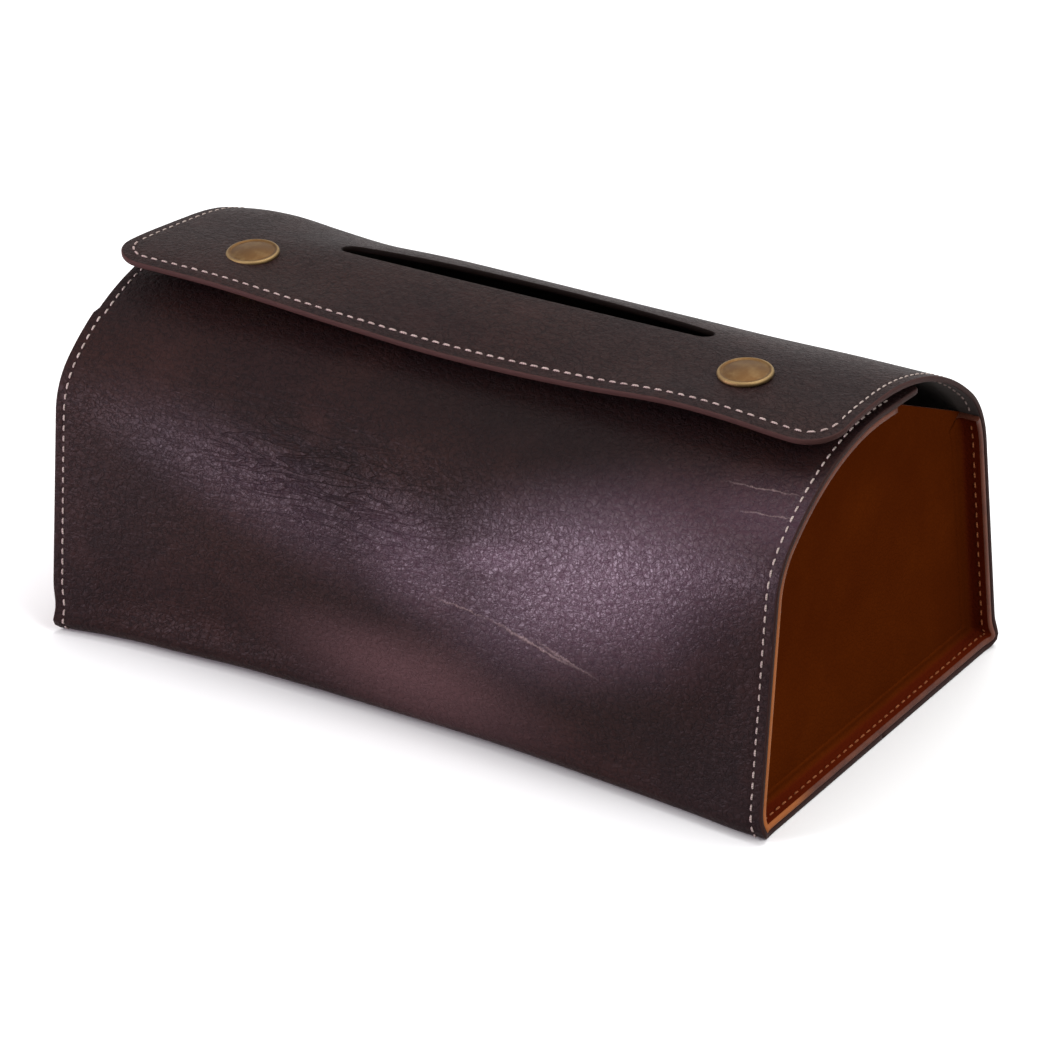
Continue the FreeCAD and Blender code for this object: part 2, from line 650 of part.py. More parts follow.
# ------------------------------------------------------------------ check and write
SUB_PARTS = ["body_wrap", "body_lining", "top_flap", "flap_lining", "left_end_panel", "right_end_panel"]
SUB_PARTS += ["%s_snap_%s" % (word, piece) for word, side in SIDES
              for piece in ("cap", "socket", "spring", "stud", "post")]

doc.recompute()
for thing in doc.Objects:
    if "Invalid" in thing.State or "Error" in thing.State:
        raise RuntimeError("%s failed: %s" % (thing.Label, thing.getStatusString()))
os.makedirs("parts", exist_ok=True)
for name in SUB_PARTS:
    shape = doc.getObjectsByLabel(name)[0].Shape
    if shape.isNull() or not shape.isValid() or shape.Volume <= 0:
        raise RuntimeError("%s has no valid shape" % name)
    shape.exportStep("parts/%s.step" % name)
    print("%-20s %10.1f mm3" % (name, shape.Volume))
fold_y = number("%s + back_shoulder_radius * sqrt(1 - %s^2)" % (BACK_CENTRE_Y, FOLD_SINE))
print("fold line at y %.3f z %.3f" % (fold_y, number(FOLD_HEIGHT)))
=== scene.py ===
# %% [markdown]
# # A leather tissue box cover with a snap-fastened flap
#
# One long strip of espresso leather makes the front, the bottom, the back and the
# flap. Two cognac trays close the ends, cream thread sews everything together, and
# two brass snaps hold the flap down. The CAD model gives every size and every moving
# body, and this lesson makes the looks: leather that was cut flat, folded and sewn.

# %% Load the CAD frame
import math

import bpy
import numpy as np
from mathutils import Euler, Matrix, Vector
from mathutils.geometry import delaunay_2d_cdt


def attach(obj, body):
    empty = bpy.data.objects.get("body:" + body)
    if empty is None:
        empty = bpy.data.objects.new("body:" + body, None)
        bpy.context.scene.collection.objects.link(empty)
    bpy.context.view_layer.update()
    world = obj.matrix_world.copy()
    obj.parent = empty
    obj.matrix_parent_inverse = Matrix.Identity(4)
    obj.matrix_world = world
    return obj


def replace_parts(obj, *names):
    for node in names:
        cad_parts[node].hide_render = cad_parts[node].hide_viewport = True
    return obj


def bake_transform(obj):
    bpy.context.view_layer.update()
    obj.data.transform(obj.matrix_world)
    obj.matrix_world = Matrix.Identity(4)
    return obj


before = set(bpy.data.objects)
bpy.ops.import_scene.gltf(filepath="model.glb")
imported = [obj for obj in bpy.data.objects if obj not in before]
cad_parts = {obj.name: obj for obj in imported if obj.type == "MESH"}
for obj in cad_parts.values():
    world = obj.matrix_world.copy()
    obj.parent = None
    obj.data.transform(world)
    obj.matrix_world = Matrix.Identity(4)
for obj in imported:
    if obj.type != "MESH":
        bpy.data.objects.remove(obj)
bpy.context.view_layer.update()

# %% [markdown]
# ## From millimetres to a Blender mesh
#
# The pieces are worked out in millimetres, because that is how a leather worker
# thinks, and are scaled to metres when the mesh is made. A mesh is given as arrays:
# points, and lists of faces with the same number of corners.


# %% Make a piece from arrays
def new_piece(name, points, faces, materials, flat=None, values=None):
    """A mesh object from points in mm and (corner array, material number) pairs.

    Every array goes straight into the mesh. A third entry beside the pair, "flat",
    keeps those faces' shading flat. flat is a vector per point that says where it was
    on the flat leather, and values holds further numbers per point.
    """
    corners = [np.asarray(block, int).reshape(len(block), -1) for block, *_ in faces]
    counts = [len(block) for block in corners]
    sizes = np.concatenate([np.full(len(block), block.shape[1]) for block in corners])
    mesh = bpy.data.meshes.new(name)
    mesh.vertices.add(len(points))
    mesh.vertices.foreach_set("co", (np.asarray(points, float) / 1000).ravel())
    mesh.loops.add(int(sizes.sum()))
    mesh.loops.foreach_set("vertex_index", np.concatenate([block.ravel() for block in corners]))
    mesh.polygons.add(len(sizes))
    mesh.polygons.foreach_set("loop_start", np.concatenate([[0], np.cumsum(sizes)[:-1]]))
    mesh.polygons.foreach_set("material_index", np.repeat([number for _, number, *_ in faces], counts))
    mesh.polygons.foreach_set("use_smooth", np.repeat([len(entry) == 2 for entry in faces], counts))
    mesh.update(calc_edges=True)
    mesh.validate()
    if flat is not None:
        mesh.attributes.new("flat", "FLOAT_VECTOR", "POINT").data.foreach_set(
            "vector", np.asarray(flat, np.float32).ravel())
    for label, numbers in (values or {}).items():
        mesh.attributes.new(label, "FLOAT", "POINT").data.foreach_set(
            "value", np.asarray(numbers, np.float32).ravel())
    for material in materials:
        mesh.materials.append(material)
    piece = bpy.data.objects.new(name, mesh)
    bpy.context.scene.collection.objects.link(piece)
    print("%-26s %6d points %6d faces" % (name, len(points), len(sizes)))
    return piece


def grid_faces(rows, columns, around=False):
    """Four corners for each cell of a grid of points, row by row.

    Cell (i, j) joins points (i, j), (i, j+1), (i+1, j+1) and (i+1, j). With around,
    the last column joins the first one again.
    """
    i = np.arange(rows - 1)[:, None]
    j = np.arange(columns if around else columns - 1)[None, :]
    k = (j + 1) % columns
    cell = (i * columns + j, i * columns + k, (i + 1) * columns + k, (i + 1) * columns + j)
    return np.stack([np.broadcast_to(c, (rows - 1, j.size)) for c in cell], -1).reshape(-1, 4)


print("3 rows of 4 points make %d faces, and %d with the rows closed" % (
    len(grid_faces(3, 4)), len(grid_faces(3, 4, around=True))))


# %% Curves that fade and swell
def ease(value, start, end):
    """0 before start, 1 after end, and the smooth curve 3t^2 - 2t^3 between them."""
    t = np.clip((value - start) / (end - start), 0, 1)
    return t * t * (3 - 2 * t)


def bell(value, middle, reach):
    """A bell of height 1 over its middle: exp(-((value - middle) / reach)^2)."""
    return np.exp(-((value - middle) / reach) ** 2)


def hill(x, y, middle, reach, turn=0.0):
    """A bell in two directions: exp(-(u^2 + v^2)) of the turned distances over their reaches."""
    c, s = math.cos(math.radians(turn)), math.sin(math.radians(turn))
    dx, dy = x - middle[0], y - middle[1]
    return np.exp(-((dx * c + dy * s) / reach[0]) ** 2 - ((dy * c - dx * s) / reach[1]) ** 2)


# %% [markdown]
# ## The strip's folded path
#
# Seen from the end, the strip is a chain of straight runs and round bends. It starts
# at the margin under the flap, goes forward and down the front, along the bottom, up
# the back and over the top to the flap's front edge. A bend is its centre, its radius
# and the directions that the leather faces at its two ends. All of them follow from a
# few sizes, because neighbouring bends and runs touch smoothly.

# %% Sizes of the folded strip, and its bends
LEATHER = 1.6                               # outer layer and lining together
HALF = 115.0                                # half the strip's width
BOX_DEPTH = 133.0                           # front to back at the table
MARGIN_HEIGHT, LAP_GAP = 98.9, 3.0          # top of the front's margin, and the air up to the flap
CREST_Y = -5.0                              # y of the margin's and of the flap's highest line
MARGIN_FALL, MARGIN_REACH = 2.0, 16.0       # degrees that it falls behind that, and y of its back edge
FLAP_REACH = 34.5                           # the flap's front edge, ahead of the middle
FRONT_LEAN, BACK_LEAN = 6.5, 9.0            # degrees off upright
FOLD_RADIUS = 5.0                           # the two folds along the bottom
CROWN_RADIUS, FRONT_RADIUS = 70.0, 22.0     # the front's top, and its shoulder
BACK_RADIUS, BACK_DROP = 29.0, 36.4         # the back's shoulder, which starts so far below the crest
BROW_RADIUS = 200.0                         # the flap ahead of its crest
SLOT_Y = 2.6                                # the dispensing slot's middle
HINGE_HEIGHT = 76.0                         # height of the hinge fold on the back
STEP = 0.25


def around(centre, radius, facing):
    """The point on a circle that faces a direction: the centre plus radius times (cos, sin)."""
    turn = math.radians(facing)
    return np.array(centre) + radius * np.array([math.cos(turn), math.sin(turn)])


def front_shoulder(crown, fold, front):
    """Where the crown gives way to the shoulder, and the shoulder's centre.

    The shoulder touches the crown from inside, so their centres lie one difference of
    the radii apart. It also touches the front's line, which gives that step's angle.
    """
    apart = CROWN_RADIUS - FRONT_RADIUS
    from_line = FOLD_RADIUS - FRONT_RADIUS + (fold - crown) @ around((0, 0), 1, front)
    turn = front - math.degrees(math.acos(from_line / apart))
    return turn, around(crown, apart, turn)


def strip_bends():
    """Every bend as (centre, radius, facing at its start, facing at its end), in degrees."""
    crest = MARGIN_HEIGHT + LAP_GAP + LEATHER
    crown = np.array([CREST_Y, MARGIN_HEIGHT - CROWN_RADIUS])
    fold = np.array([FOLD_RADIUS - BOX_DEPTH / 2, FOLD_RADIUS])
    front = 180 - FRONT_LEAN
    over, shoulder = front_shoulder(crown, fold, front)

    foot = around(fold * (-1, 1), FOLD_RADIUS, BACK_LEAN)
    back_z = crest - BACK_DROP
    back_y = foot[0] - (back_z - foot[1]) * math.tan(math.radians(BACK_LEAN))
    back = around((back_y, back_z), -BACK_RADIUS, BACK_LEAN)

    # The top is level at the crest and touches the back's shoulder from outside.
    aside, below = back[0] - CREST_Y, crest - back[1]
    top_radius = (aside ** 2 + below ** 2 - BACK_RADIUS ** 2) / (2 * (below - BACK_RADIUS))
    top = 360 + math.degrees(math.atan2(top_radius - below, aside))
    edge = 360 + math.degrees(math.acos((-FLAP_REACH - CREST_Y) / BROW_RADIUS))
    return (
        (crown, CROWN_RADIUS, 90 - MARGIN_FALL, over),
        (shoulder, FRONT_RADIUS, over, front),
        (fold, FOLD_RADIUS, front, 270),
        (fold * (-1, 1), FOLD_RADIUS, 270, 360 + BACK_LEAN),
        (back, BACK_RADIUS, 360 + BACK_LEAN, top),
        ((CREST_Y, crest - top_radius), top_radius, top, 450),
        ((CREST_Y, crest - BROW_RADIUS), BROW_RADIUS, 450, edge),
    )


BENDS = strip_bends()
for (cy, cz), radius, start, end in BENDS:
    print("bend of %6.2f mm round (%7.2f, %7.2f), facing %6.2f to %6.2f" % (radius, cy, cz, start, end))

# %% [markdown]
# ## The path as a function of length
#
# The bends and the runs between them are filled with points a quarter millimetre
# apart. Each point's length along the leather is summed up on the way, so a place on
# the flat strip can be looked up on the folded one, and the other way round.


# %% Lengths along the strip
def dense_path():
    """Points every quarter millimetre along the strip: length, y, z and facing angle.

    A bend's point at facing angle a is its centre plus the radius times (cos a, sin a).
    A straight run is filled in evenly between two bends and keeps one facing angle.
    """
    first = around(*BENDS[0][:3])
    fall = (MARGIN_REACH - first[0]) * math.tan(math.radians(MARGIN_FALL))
    y, z, a = [np.array([MARGIN_REACH])], [first[1:] - fall], [np.array([BENDS[0][2]])]
    for (cy, cz), radius, start, end in BENDS:
        count = max(2, int(math.radians(end - start) * radius / STEP) + 1)
        turn = np.linspace(start, end, count)
        by = cy + radius * np.cos(np.radians(turn))
        bz = cz + radius * np.sin(np.radians(turn))
        run = math.hypot(by[0] - y[-1][-1], bz[0] - z[-1][-1])
        fill = np.linspace(0, 1, max(2, int(run / STEP) + 1))[1:-1]
        y += [y[-1][-1] + (by[0] - y[-1][-1]) * fill, by]
        z += [z[-1][-1] + (bz[0] - z[-1][-1]) * fill, bz]
        a += [np.full(len(fill), start), turn]
    y, z, a = map(np.concatenate, (y, z, a))
    length = np.concatenate([[0], np.cumsum(np.hypot(np.diff(y), np.diff(z)))])
    keep = np.concatenate([[True], np.diff(length) > 1e-6])
    return length[keep], y[keep], z[keep], a[keep]


PATH_S, PATH_Y, PATH_Z, PATH_A = dense_path()
STRIP_END = PATH_S[-1]
BASE_MIDDLE = float(np.interp(0, PATH_Y[PATH_Z < 0.01], PATH_S[PATH_Z < 0.01]))
FOLD_TOP = float(PATH_S[np.argmax((PATH_Y > 40) & (PATH_Z > HINGE_HEIGHT))])


def length_on_top(y):
    """The strip's length where the flap's top passes a given y."""
    on_top = PATH_S > FOLD_TOP + 20
    return float(np.interp(-y, -PATH_Y[on_top], PATH_S[on_top]))


def length_on_front(z):
    """The strip's length where the front, from the shoulder down, passes a given height."""
    front = (PATH_S < BASE_MIDDLE) & (PATH_Y < -40)
    return float(np.interp(-z, -PATH_Z[front], PATH_S[front]))


def length_on_margin(y):
    """The strip's length where the margin under the flap passes a given y."""
    margin = PATH_S < length_on_front(84)
    return float(np.interp(-y, -PATH_Y[margin], PATH_S[margin]))


print("strip length %.1f mm, base middle at %.1f, hinge fold at %.1f" % (STRIP_END, BASE_MIDDLE, FOLD_TOP))

# %% [markdown]
# ## Soft forms that hand work leaves
#
# Sewn leather is never a perfect fold. The front panel is dented where the box is
# held, its lower edge draws in between the two end trays, the flap arches between
# its end seams, and its free edge waves. Each form is a smooth function of the place
# on the strip. It moves the whole thickness of the leather together, so nothing gets
# thinner. The front's dents fade out before the end trays, which take every other form
# with the leather that they are sewn to.

# %% Tables of the soft forms, in mm
FLAP_WAVE = (  # x, and how far up the flap's free edge is there
    (-115, 3.4), (-80, 2.5), (-56, 1.3), (-32, -0.2), (-8, -1.4), (16, -1.5),
    (40, -0.6), (66, 1.0), (85, 0.6), (102, -0.5), (115, -0.8))
FLAP_ARCH = (  # x, and how far up the flap's crest is there
    (-115, 0.0), (-104, 0.6), (-80, 2.0), (-60, 2.6), (-30, 3.4), (0, 3.7),
    (30, 3.4), (60, 2.6), (80, 2.0), (104, 0.6), (115, 0.0))
BACK_SWELL = (  # x, and how far out the back shoulder stands there
    (-115, 0.9), (-104, 2.2), (-95, 2.4), (-82, 1.4), (-65, 0.2), (-34, 0.2),
    (0, -0.2), (50, -0.3), (90, 0.3), (115, 0.2))
DRAWN_IN = (  # x, and how far the front's lower fold is drawn in there
    (-115, 0.0), (-105, 2.2), (-91, 4.4), (-77, 5.4), (-54, 7.2), (-37, 7.6),
    (-4, 7.6), (29, 7.0), (62, 4.6), (94, 1.7), (107, 0.2), (115, 0.0))
DRAWN_BACK, DRAWN_UP = 0.72, 0.18       # shares of it that go back and up
DENTS = (  # middle (x, height), reach (along, across), turn, depth (out is positive)
    ((54, 37), (43, 21), 14, 3.3),
    ((-40, 50), (60, 13), -14, 1.4),
    ((0, 16), (34, 9), -6, 0.9),
    ((-70, 16), (34, 12), 0, -1.0),
    ((20, 82), (60, 12), 12, -0.6),
)
FLARE = 1.3             # how far the sewn corners stand out where they go round a fold
LEFT_FULL = 0.9         # how far the left seam stands out on the front
print("the front's fold is drawn in by up to %.1f mm" % max(value for _, value in DRAWN_IN))

# %% [markdown]
# ## Curves for the soft forms
#
# A table holds only a handful of places, so a smooth curve has to lead through them.
# Slack leather also doesn't follow a bend exactly but cuts its corner: a second path
# with every bend averaged over a few millimetres stands for it.


# %% A curve through a table, fades, and the slack path
def through(table, x):
    """A smooth curve through a short table: each stretch eases between its two values' slopes."""
    xs, values = np.array(table, float).T
    slopes = np.gradient(values, xs)
    i = np.clip(np.searchsorted(xs, x) - 1, 0, len(xs) - 2)
    width = xs[i + 1] - xs[i]
    t = np.clip((x - xs[i]) / width, 0, 1)
    return (values[i] * (1 + 2 * t) * (1 - t) ** 2 + slopes[i] * width * t * (1 - t) ** 2
            + values[i + 1] * t * t * (3 - 2 * t) + slopes[i + 1] * width * t * t * (t - 1))


def on_front(s, low, full_low, full_high, high):
    """1 on the front between the two inner heights, and 0 from the outer two on."""
    from_above = ease(s, length_on_front(high), length_on_front(full_high))
    return from_above * ease(-s, -length_on_front(low), -length_on_front(full_low))


def within(x, full, end):
    """1 in the middle of the strip, as far aside as full, and 0 from end on."""
    return ease(-np.abs(x), -end, -full)


def softened(values, reach=7.0):
    """The path's coordinate averaged along its length by a bell curve that reaches a few mm."""
    even = np.arange(0, STRIP_END, STEP)
    offset = np.arange(-3 * reach, 3 * reach + STEP, STEP)
    weight = np.exp(-0.5 * (offset / reach) ** 2)
    padded = np.pad(np.interp(even, PATH_S, values), len(offset) // 2, mode="edge")
    return even, np.convolve(padded, weight / weight.sum(), "valid")


SLACK_S, SLACK_Y = softened(PATH_Y)
SLACK_S, SLACK_Z = softened(PATH_Z)
FRONT_FOLD = length_on_front(2.5)
FOLDS = (FRONT_FOLD, 2 * BASE_MIDDLE - FRONT_FOLD)
SHOULDER = length_on_front(math.inf)        # where the front begins
print("slack path: %d places, folds at %.1f and %.1f mm" % (len(SLACK_S), *FOLDS))

# %% [markdown]
# ## Each soft form
#
# One short function gives one form, and `soft_form` adds them up: how far the
# leather moves out along its facing direction, aside in x, back in y and up in z.
# The heights and lengths in them say where on the real piece the form is at home.


# %% The forms, and a place on the folded box
def dents(x, s):
    """Out: what hands have pressed into the front, and what stands out beside it."""
    height = np.interp(s, PATH_S, PATH_Z)
    hills = sum(depth * hill(x, height, middle, reach, turn) for middle, reach, turn, depth in DENTS)
    return hills * on_front(s, 2, 14, 70, 84) * within(x, 88, 108)


def back_swell(x, s):
    """Out: the back shoulder bulges beside the left end."""
    return through(BACK_SWELL, x) * bell(s, length_on_top(26), 19)


def drawn_in(x, s):
    """How far the lower edge of the front is drawn in: most at the fold, less above and under it."""
    fold = length_on_front(5.6) + 4
    return through(DRAWN_IN, x) * bell(s, fold, np.where(s < fold, 34, 42)) * (s < BASE_MIDDLE)


def flap_rise(x, s):
    """Up: the wave of the flap's free edge, and the arch of its crest between the end seams.

    The wave starts further back beside the left corner, and the crest lies further
    back in the middle than at the snaps.
    """
    waving = ease(s, length_on_top(-17) - 22 * ease(-x, 60, 110), STRIP_END) * (s > FOLD_TOP)
    crest = length_on_top(-8) - 9 * within(x, 45, 80)
    arched = bell(s, crest, 23) * ease(s, FOLD_TOP + 15, FOLD_TOP + 30)
    return through(FLAP_WAVE, x) * waving + through(FLAP_ARCH, x) * arched


def seam_shift(x, s):
    """Aside: the sewn corners flare at both folds, and the left seam stands out on the front."""
    flare = FLARE * np.sign(x) * ease(np.abs(x), 107, 115.5) * sum(bell(s, fold, 3.5) for fold in FOLDS)
    down_front = (s > SHOULDER) * ease(-s, -length_on_front(8), -length_on_front(16))
    return flare - LEFT_FULL * ease(-x, 100, 115) * down_front


def soft_form(x, s):
    """How far the leather is moved out, aside, back and up by all its soft forms together."""
    drawn = drawn_in(x, s)
    slack = on_front(s, 4, 20, 82, 93) * within(x, 94, 112)
    back = DRAWN_BACK * drawn + slack * (np.interp(s, SLACK_S, SLACK_Y) - np.interp(s, PATH_S, PATH_Y))
    up = DRAWN_UP * drawn + flap_rise(x, s) + slack * (
        np.interp(s, SLACK_S, SLACK_Z) - np.interp(s, PATH_S, PATH_Z))
    return dents(x, s) + back_swell(x, s), seam_shift(x, s), back, up


def strip_point(x, s, depth=0.0):
    """Where a point of the flat leather lies on the folded box.

    The path gives y, z and the facing direction at length s. The point goes inwards
    by its depth against that direction, and takes the soft forms.
    """
    x, s, depth = np.broadcast_arrays(np.asarray(x, float), np.asarray(s, float), np.asarray(depth, float))
    facing = np.radians(np.interp(s, PATH_S, PATH_A))
    out, aside, back, up = soft_form(x, s)
    y = np.interp(s, PATH_S, PATH_Y) + (out - depth) * np.cos(facing) + back
    z = np.interp(s, PATH_S, PATH_Z) + (out - depth) * np.sin(facing) + up
    return np.stack([x + aside, y, z], -1)


print("the flap's crest is arched by up to %.1f mm" % max(soft_form(np.zeros(9), np.linspace(
    length_on_top(10), length_on_top(-16), 9))[3]))

# %% [markdown]
# ## Shader maths written as plain expressions
#
# A finish is a small sum of patterns. This class wraps the output of a node, so that
# `1 - mask * 0.5` adds the Math nodes by itself, and a Finish holds one material and
# has one method that adds any other node.


# %% A value in a shader
def arithmetic(operation, swapped=False):
    """A method that adds one Math node; swapped is for a number in front of the value."""
    def method(self, other):
        return self.sum(operation, *((other, self) if swapped else (self, other)))
    return method


class Value:
    """The output of a shader node. Arithmetic on it adds Math nodes."""

    def __init__(self, finish, socket):
        self.finish, self.socket = finish, socket

    def sum(self, operation, first, second, clamp=False):
        """One Math node on two values or numbers."""
        return self.finish.add("ShaderNodeMath", {"operation": operation, "use_clamp": clamp},
                               {0: first, 1: second})

    __add__, __radd__ = arithmetic("ADD"), arithmetic("ADD", True)
    __sub__, __rsub__ = arithmetic("SUBTRACT"), arithmetic("SUBTRACT", True)
    __mul__, __rmul__ = arithmetic("MULTIPLY"), arithmetic("MULTIPLY", True)
    most = arithmetic("MAXIMUM")

    def clamped(self):
        """The value held between 0 and 1."""
        return self.sum("ADD", self, 0.0, True)

    def between(self, low, high):
        """0 where the value is at or below low, 1 at or above high, and smooth between."""
        return self.finish.add("ShaderNodeMapRange", {"interpolation_type": "SMOOTHSTEP"},
                               {"Value": self, "From Min": low, "From Max": high})


# %% [markdown]
# ## A finish
#
# A finish is one material. Its methods are named for what a pattern does: noise,
# cells, a mark at one place, or relief that only tilts the surface a little. All
# of it is worked out from where a point is, so no image is needed.


# %% A finish and its patterns
class Finish:
    """A procedural material: one Principled shader, with patterns added in front of it."""

    def __init__(self, name, **constants):
        self.material = bpy.data.materials.new(name)
        self.material.use_nodes = True
        self.tree = self.material.node_tree
        self.shader = self.tree.nodes["Principled BSDF"]
        for socket, value in constants.items():
            self.shader.inputs[socket.replace("_", " ")].default_value = value

    def add(self, kind, settings=None, values=None, output=0):
        """Any node: its settings first, then the values or links of its sockets."""
        node = self.tree.nodes.new(kind)
        for name, setting in (settings or {}).items():
            setattr(node, name, setting)
        for name, value in (values or {}).items():
            self.feed(node.inputs[name], value)
        return Value(self, node.outputs[output])

    def feed(self, socket, value):
        """Link a socket to a value, or set it to a number or a colour."""
        if isinstance(value, Value):
            self.tree.links.new(value.socket, socket)
        elif socket.type == "RGBA":
            socket.default_value = (*value, 1) if len(value) == 3 else value
        else:
            socket.default_value = value

    def shade(self, **sockets):
        """Feed the shader's own sockets."""
        for name, value in sockets.items():
            self.feed(self.shader.inputs[name.replace("_", " ")], value)
        return self.material

    def overlaid(self, factor, roughness, level, **sockets):
        """A second, shinier shader with the same colour and relief, mixed in by a factor."""
        second = self.tree.nodes.new("ShaderNodeBsdfPrincipled")
        for name, value in {**sockets, "Roughness": roughness, "Specular IOR Level": level}.items():
            self.feed(second.inputs[name.replace("_", " ")], value)
        mix = self.add("ShaderNodeMixShader", None, {
            0: factor, 1: Value(self, self.shader.outputs[0]), 2: Value(self, second.outputs[0])})
        self.tree.links.new(mix.socket, self.tree.nodes["Material Output"].inputs[0])

    def mixed(self, factor, first, second):
        """One colour where the factor is 0 and the other where it is 1."""
        return self.add("ShaderNodeMix", {"data_type": "RGBA"}, {0: factor, 6: first, 7: second}, 2)

    def place(self, attribute=None):
        """Where a point is: on the flat leather in mm, or in the object in metres."""
        if attribute:
            return self.add("ShaderNodeAttribute", {"attribute_name": attribute}, None, "Vector")
        return self.add("ShaderNodeTexCoord", None, None, "Object")

    def number(self, attribute):
        """A number that the mesh carries for each point."""
        return self.add("ShaderNodeAttribute", {"attribute_name": attribute}, None, "Fac")

    def part(self, vector, axis):
        """One coordinate of a place."""
        return self.add("ShaderNodeSeparateXYZ", None, {"Vector": vector}, axis)

    def stretched(self, vector, scale, turn=0.0):
        """A place turned about its third direction and scaled."""
        return self.add("ShaderNodeMapping", None,
                        {"Vector": vector, "Scale": scale, "Rotation": (0, 0, math.radians(turn))})

    def noise(self, vector, scale, detail=3.0, roughness=0.5, distortion=0.0):
        """Soft cloudy noise between 0 and 1, with detail in ever smaller steps."""
        return self.add("ShaderNodeTexNoise", None, {
            "Vector": vector, "Scale": scale, "Detail": detail, "Roughness": roughness,
            "Distortion": distortion})

    def cells(self, vector, scale, feature):
        """Distance within irregular cells, as grain has: to the centre, or to the crack between cells."""
        return self.add("ShaderNodeTexVoronoi", {"feature": feature},
                        {"Vector": vector, "Scale": scale}, "Distance")

    def mark(self, vector, centre, reach, turn=0.0):
        """A soft mark: 1 at its centre, falling smoothly to 0 at an ellipse that reaches that far."""
        moved = self.add("ShaderNodeMapping", {"vector_type": "TEXTURE"}, {
            "Vector": vector, "Location": (*centre, 0), "Rotation": (0, 0, math.radians(turn)),
            "Scale": (*reach, 1000)})
        distance = self.add("ShaderNodeVectorMath", {"operation": "LENGTH"}, {0: moved}, "Value")
        return distance.between(1.0, 0.0)

    def marks(self, vector, table):
        """The strongest of several marks on the front: ((x, height), reach, turn, strength) each."""
        strongest = None
        for (x, height), reach, turn, strength in table:
            spot = self.mark(vector, (x, length_on_front(height)), reach, turn) * strength
            strongest = strongest.most(spot) if strongest else spot
        return strongest

    def relief(self, height, depth):
        """A bump whose height of 1 stands depth metres high."""
        return self.add("ShaderNodeBump", None, {"Height": height, "Distance": depth, "Strength": 1.0},
                        "Normal")


def tone(red, green, blue):
    """A colour given as it shows on a screen, 0 to 255, turned into the linear light a shader wants."""
    c = np.array([red, green, blue]) / 255
    return tuple(np.where(c <= 0.04045, c / 12.92, ((c + 0.055) / 1.055) ** 2.4))


print("a mid grey of 128 is %.3f in linear light" % tone(128, 128, 128)[0])

# %% [markdown]
# ## Espresso leather
#
# The strip is drum-dyed leather with a tumbled grain: irregular cells a millimetre or
# two across, parted by faint cracks, with long wrinkles where the hide has been bent.
# The pattern lies on the flat leather's own coordinates, so it runs over every fold
# without sliding. Where the front has polish, a shinier layer is mixed in and a painted
# highlight lightens the colour. Painted shade darkens the front under the flap's edge and
# at its lower right, and the top round the slot, a painted glow lies low on the front,
# and a few creases show paler lines.

# %% Espresso leather
# Every mark is its middle (x, height), its reach (along, across), its turn and its strength.
# painted highlight: where the front has polish, a shinier layer is mixed in and the colour is lightened
# towards purple
POLISH_AND_HIGHLIGHT_HIGH = (((62, 60), (78, 38), -22, 1.0), ((104, 83), (62, 20), -10, 0.5))
POLISH_AND_HIGHLIGHT_LOW = (
    ((8, 50), (42, 24), 14, 0.6), ((-38, 57), (88, 21), 16, 0.26), ((34, 59), (34, 11), -14, 1.0))
# painted shade by the right seam: less sheen and less painted highlight there
SHADE_BY_SEAM = (((114, 50), (40, 26), 0, 0.8),)
# paler lines along a few creases, in colour and in relief
PALE_CREASE_LINES = (
    ((46, 37), (21, 0.8), 13, 1.0), ((56, 35.5), (14, 0.6), 18, 0.8), ((22, 41), (12, 0.5), 5, 0.8),
    ((102, 88), (15, 0.4), -3, 0.8), ((106, 84), (11, 0.35), -6, 0.8))
WRINKLED = (((-30, 68), (66, 30), 8, 1.0),)
# painted glow: a lighter, redder patch low in the middle of the front
PAINTED_GLOW = (((4, 15), (62, 20), 4, 0.7),)
# painted shade: the front darker under the flap's edge and at its lower right
PAINTED_SHADE = (((25, 90), (75, 22), 0, 0.75), ((86, 20), (44, 22), 0, 0.45))


def ridges(value, width):
    """1 where a noise passes its middle, so that it draws thin lines, and 0 away from them."""
    from_middle = value - 0.5
    return (from_middle * from_middle).between(width, 0.0)


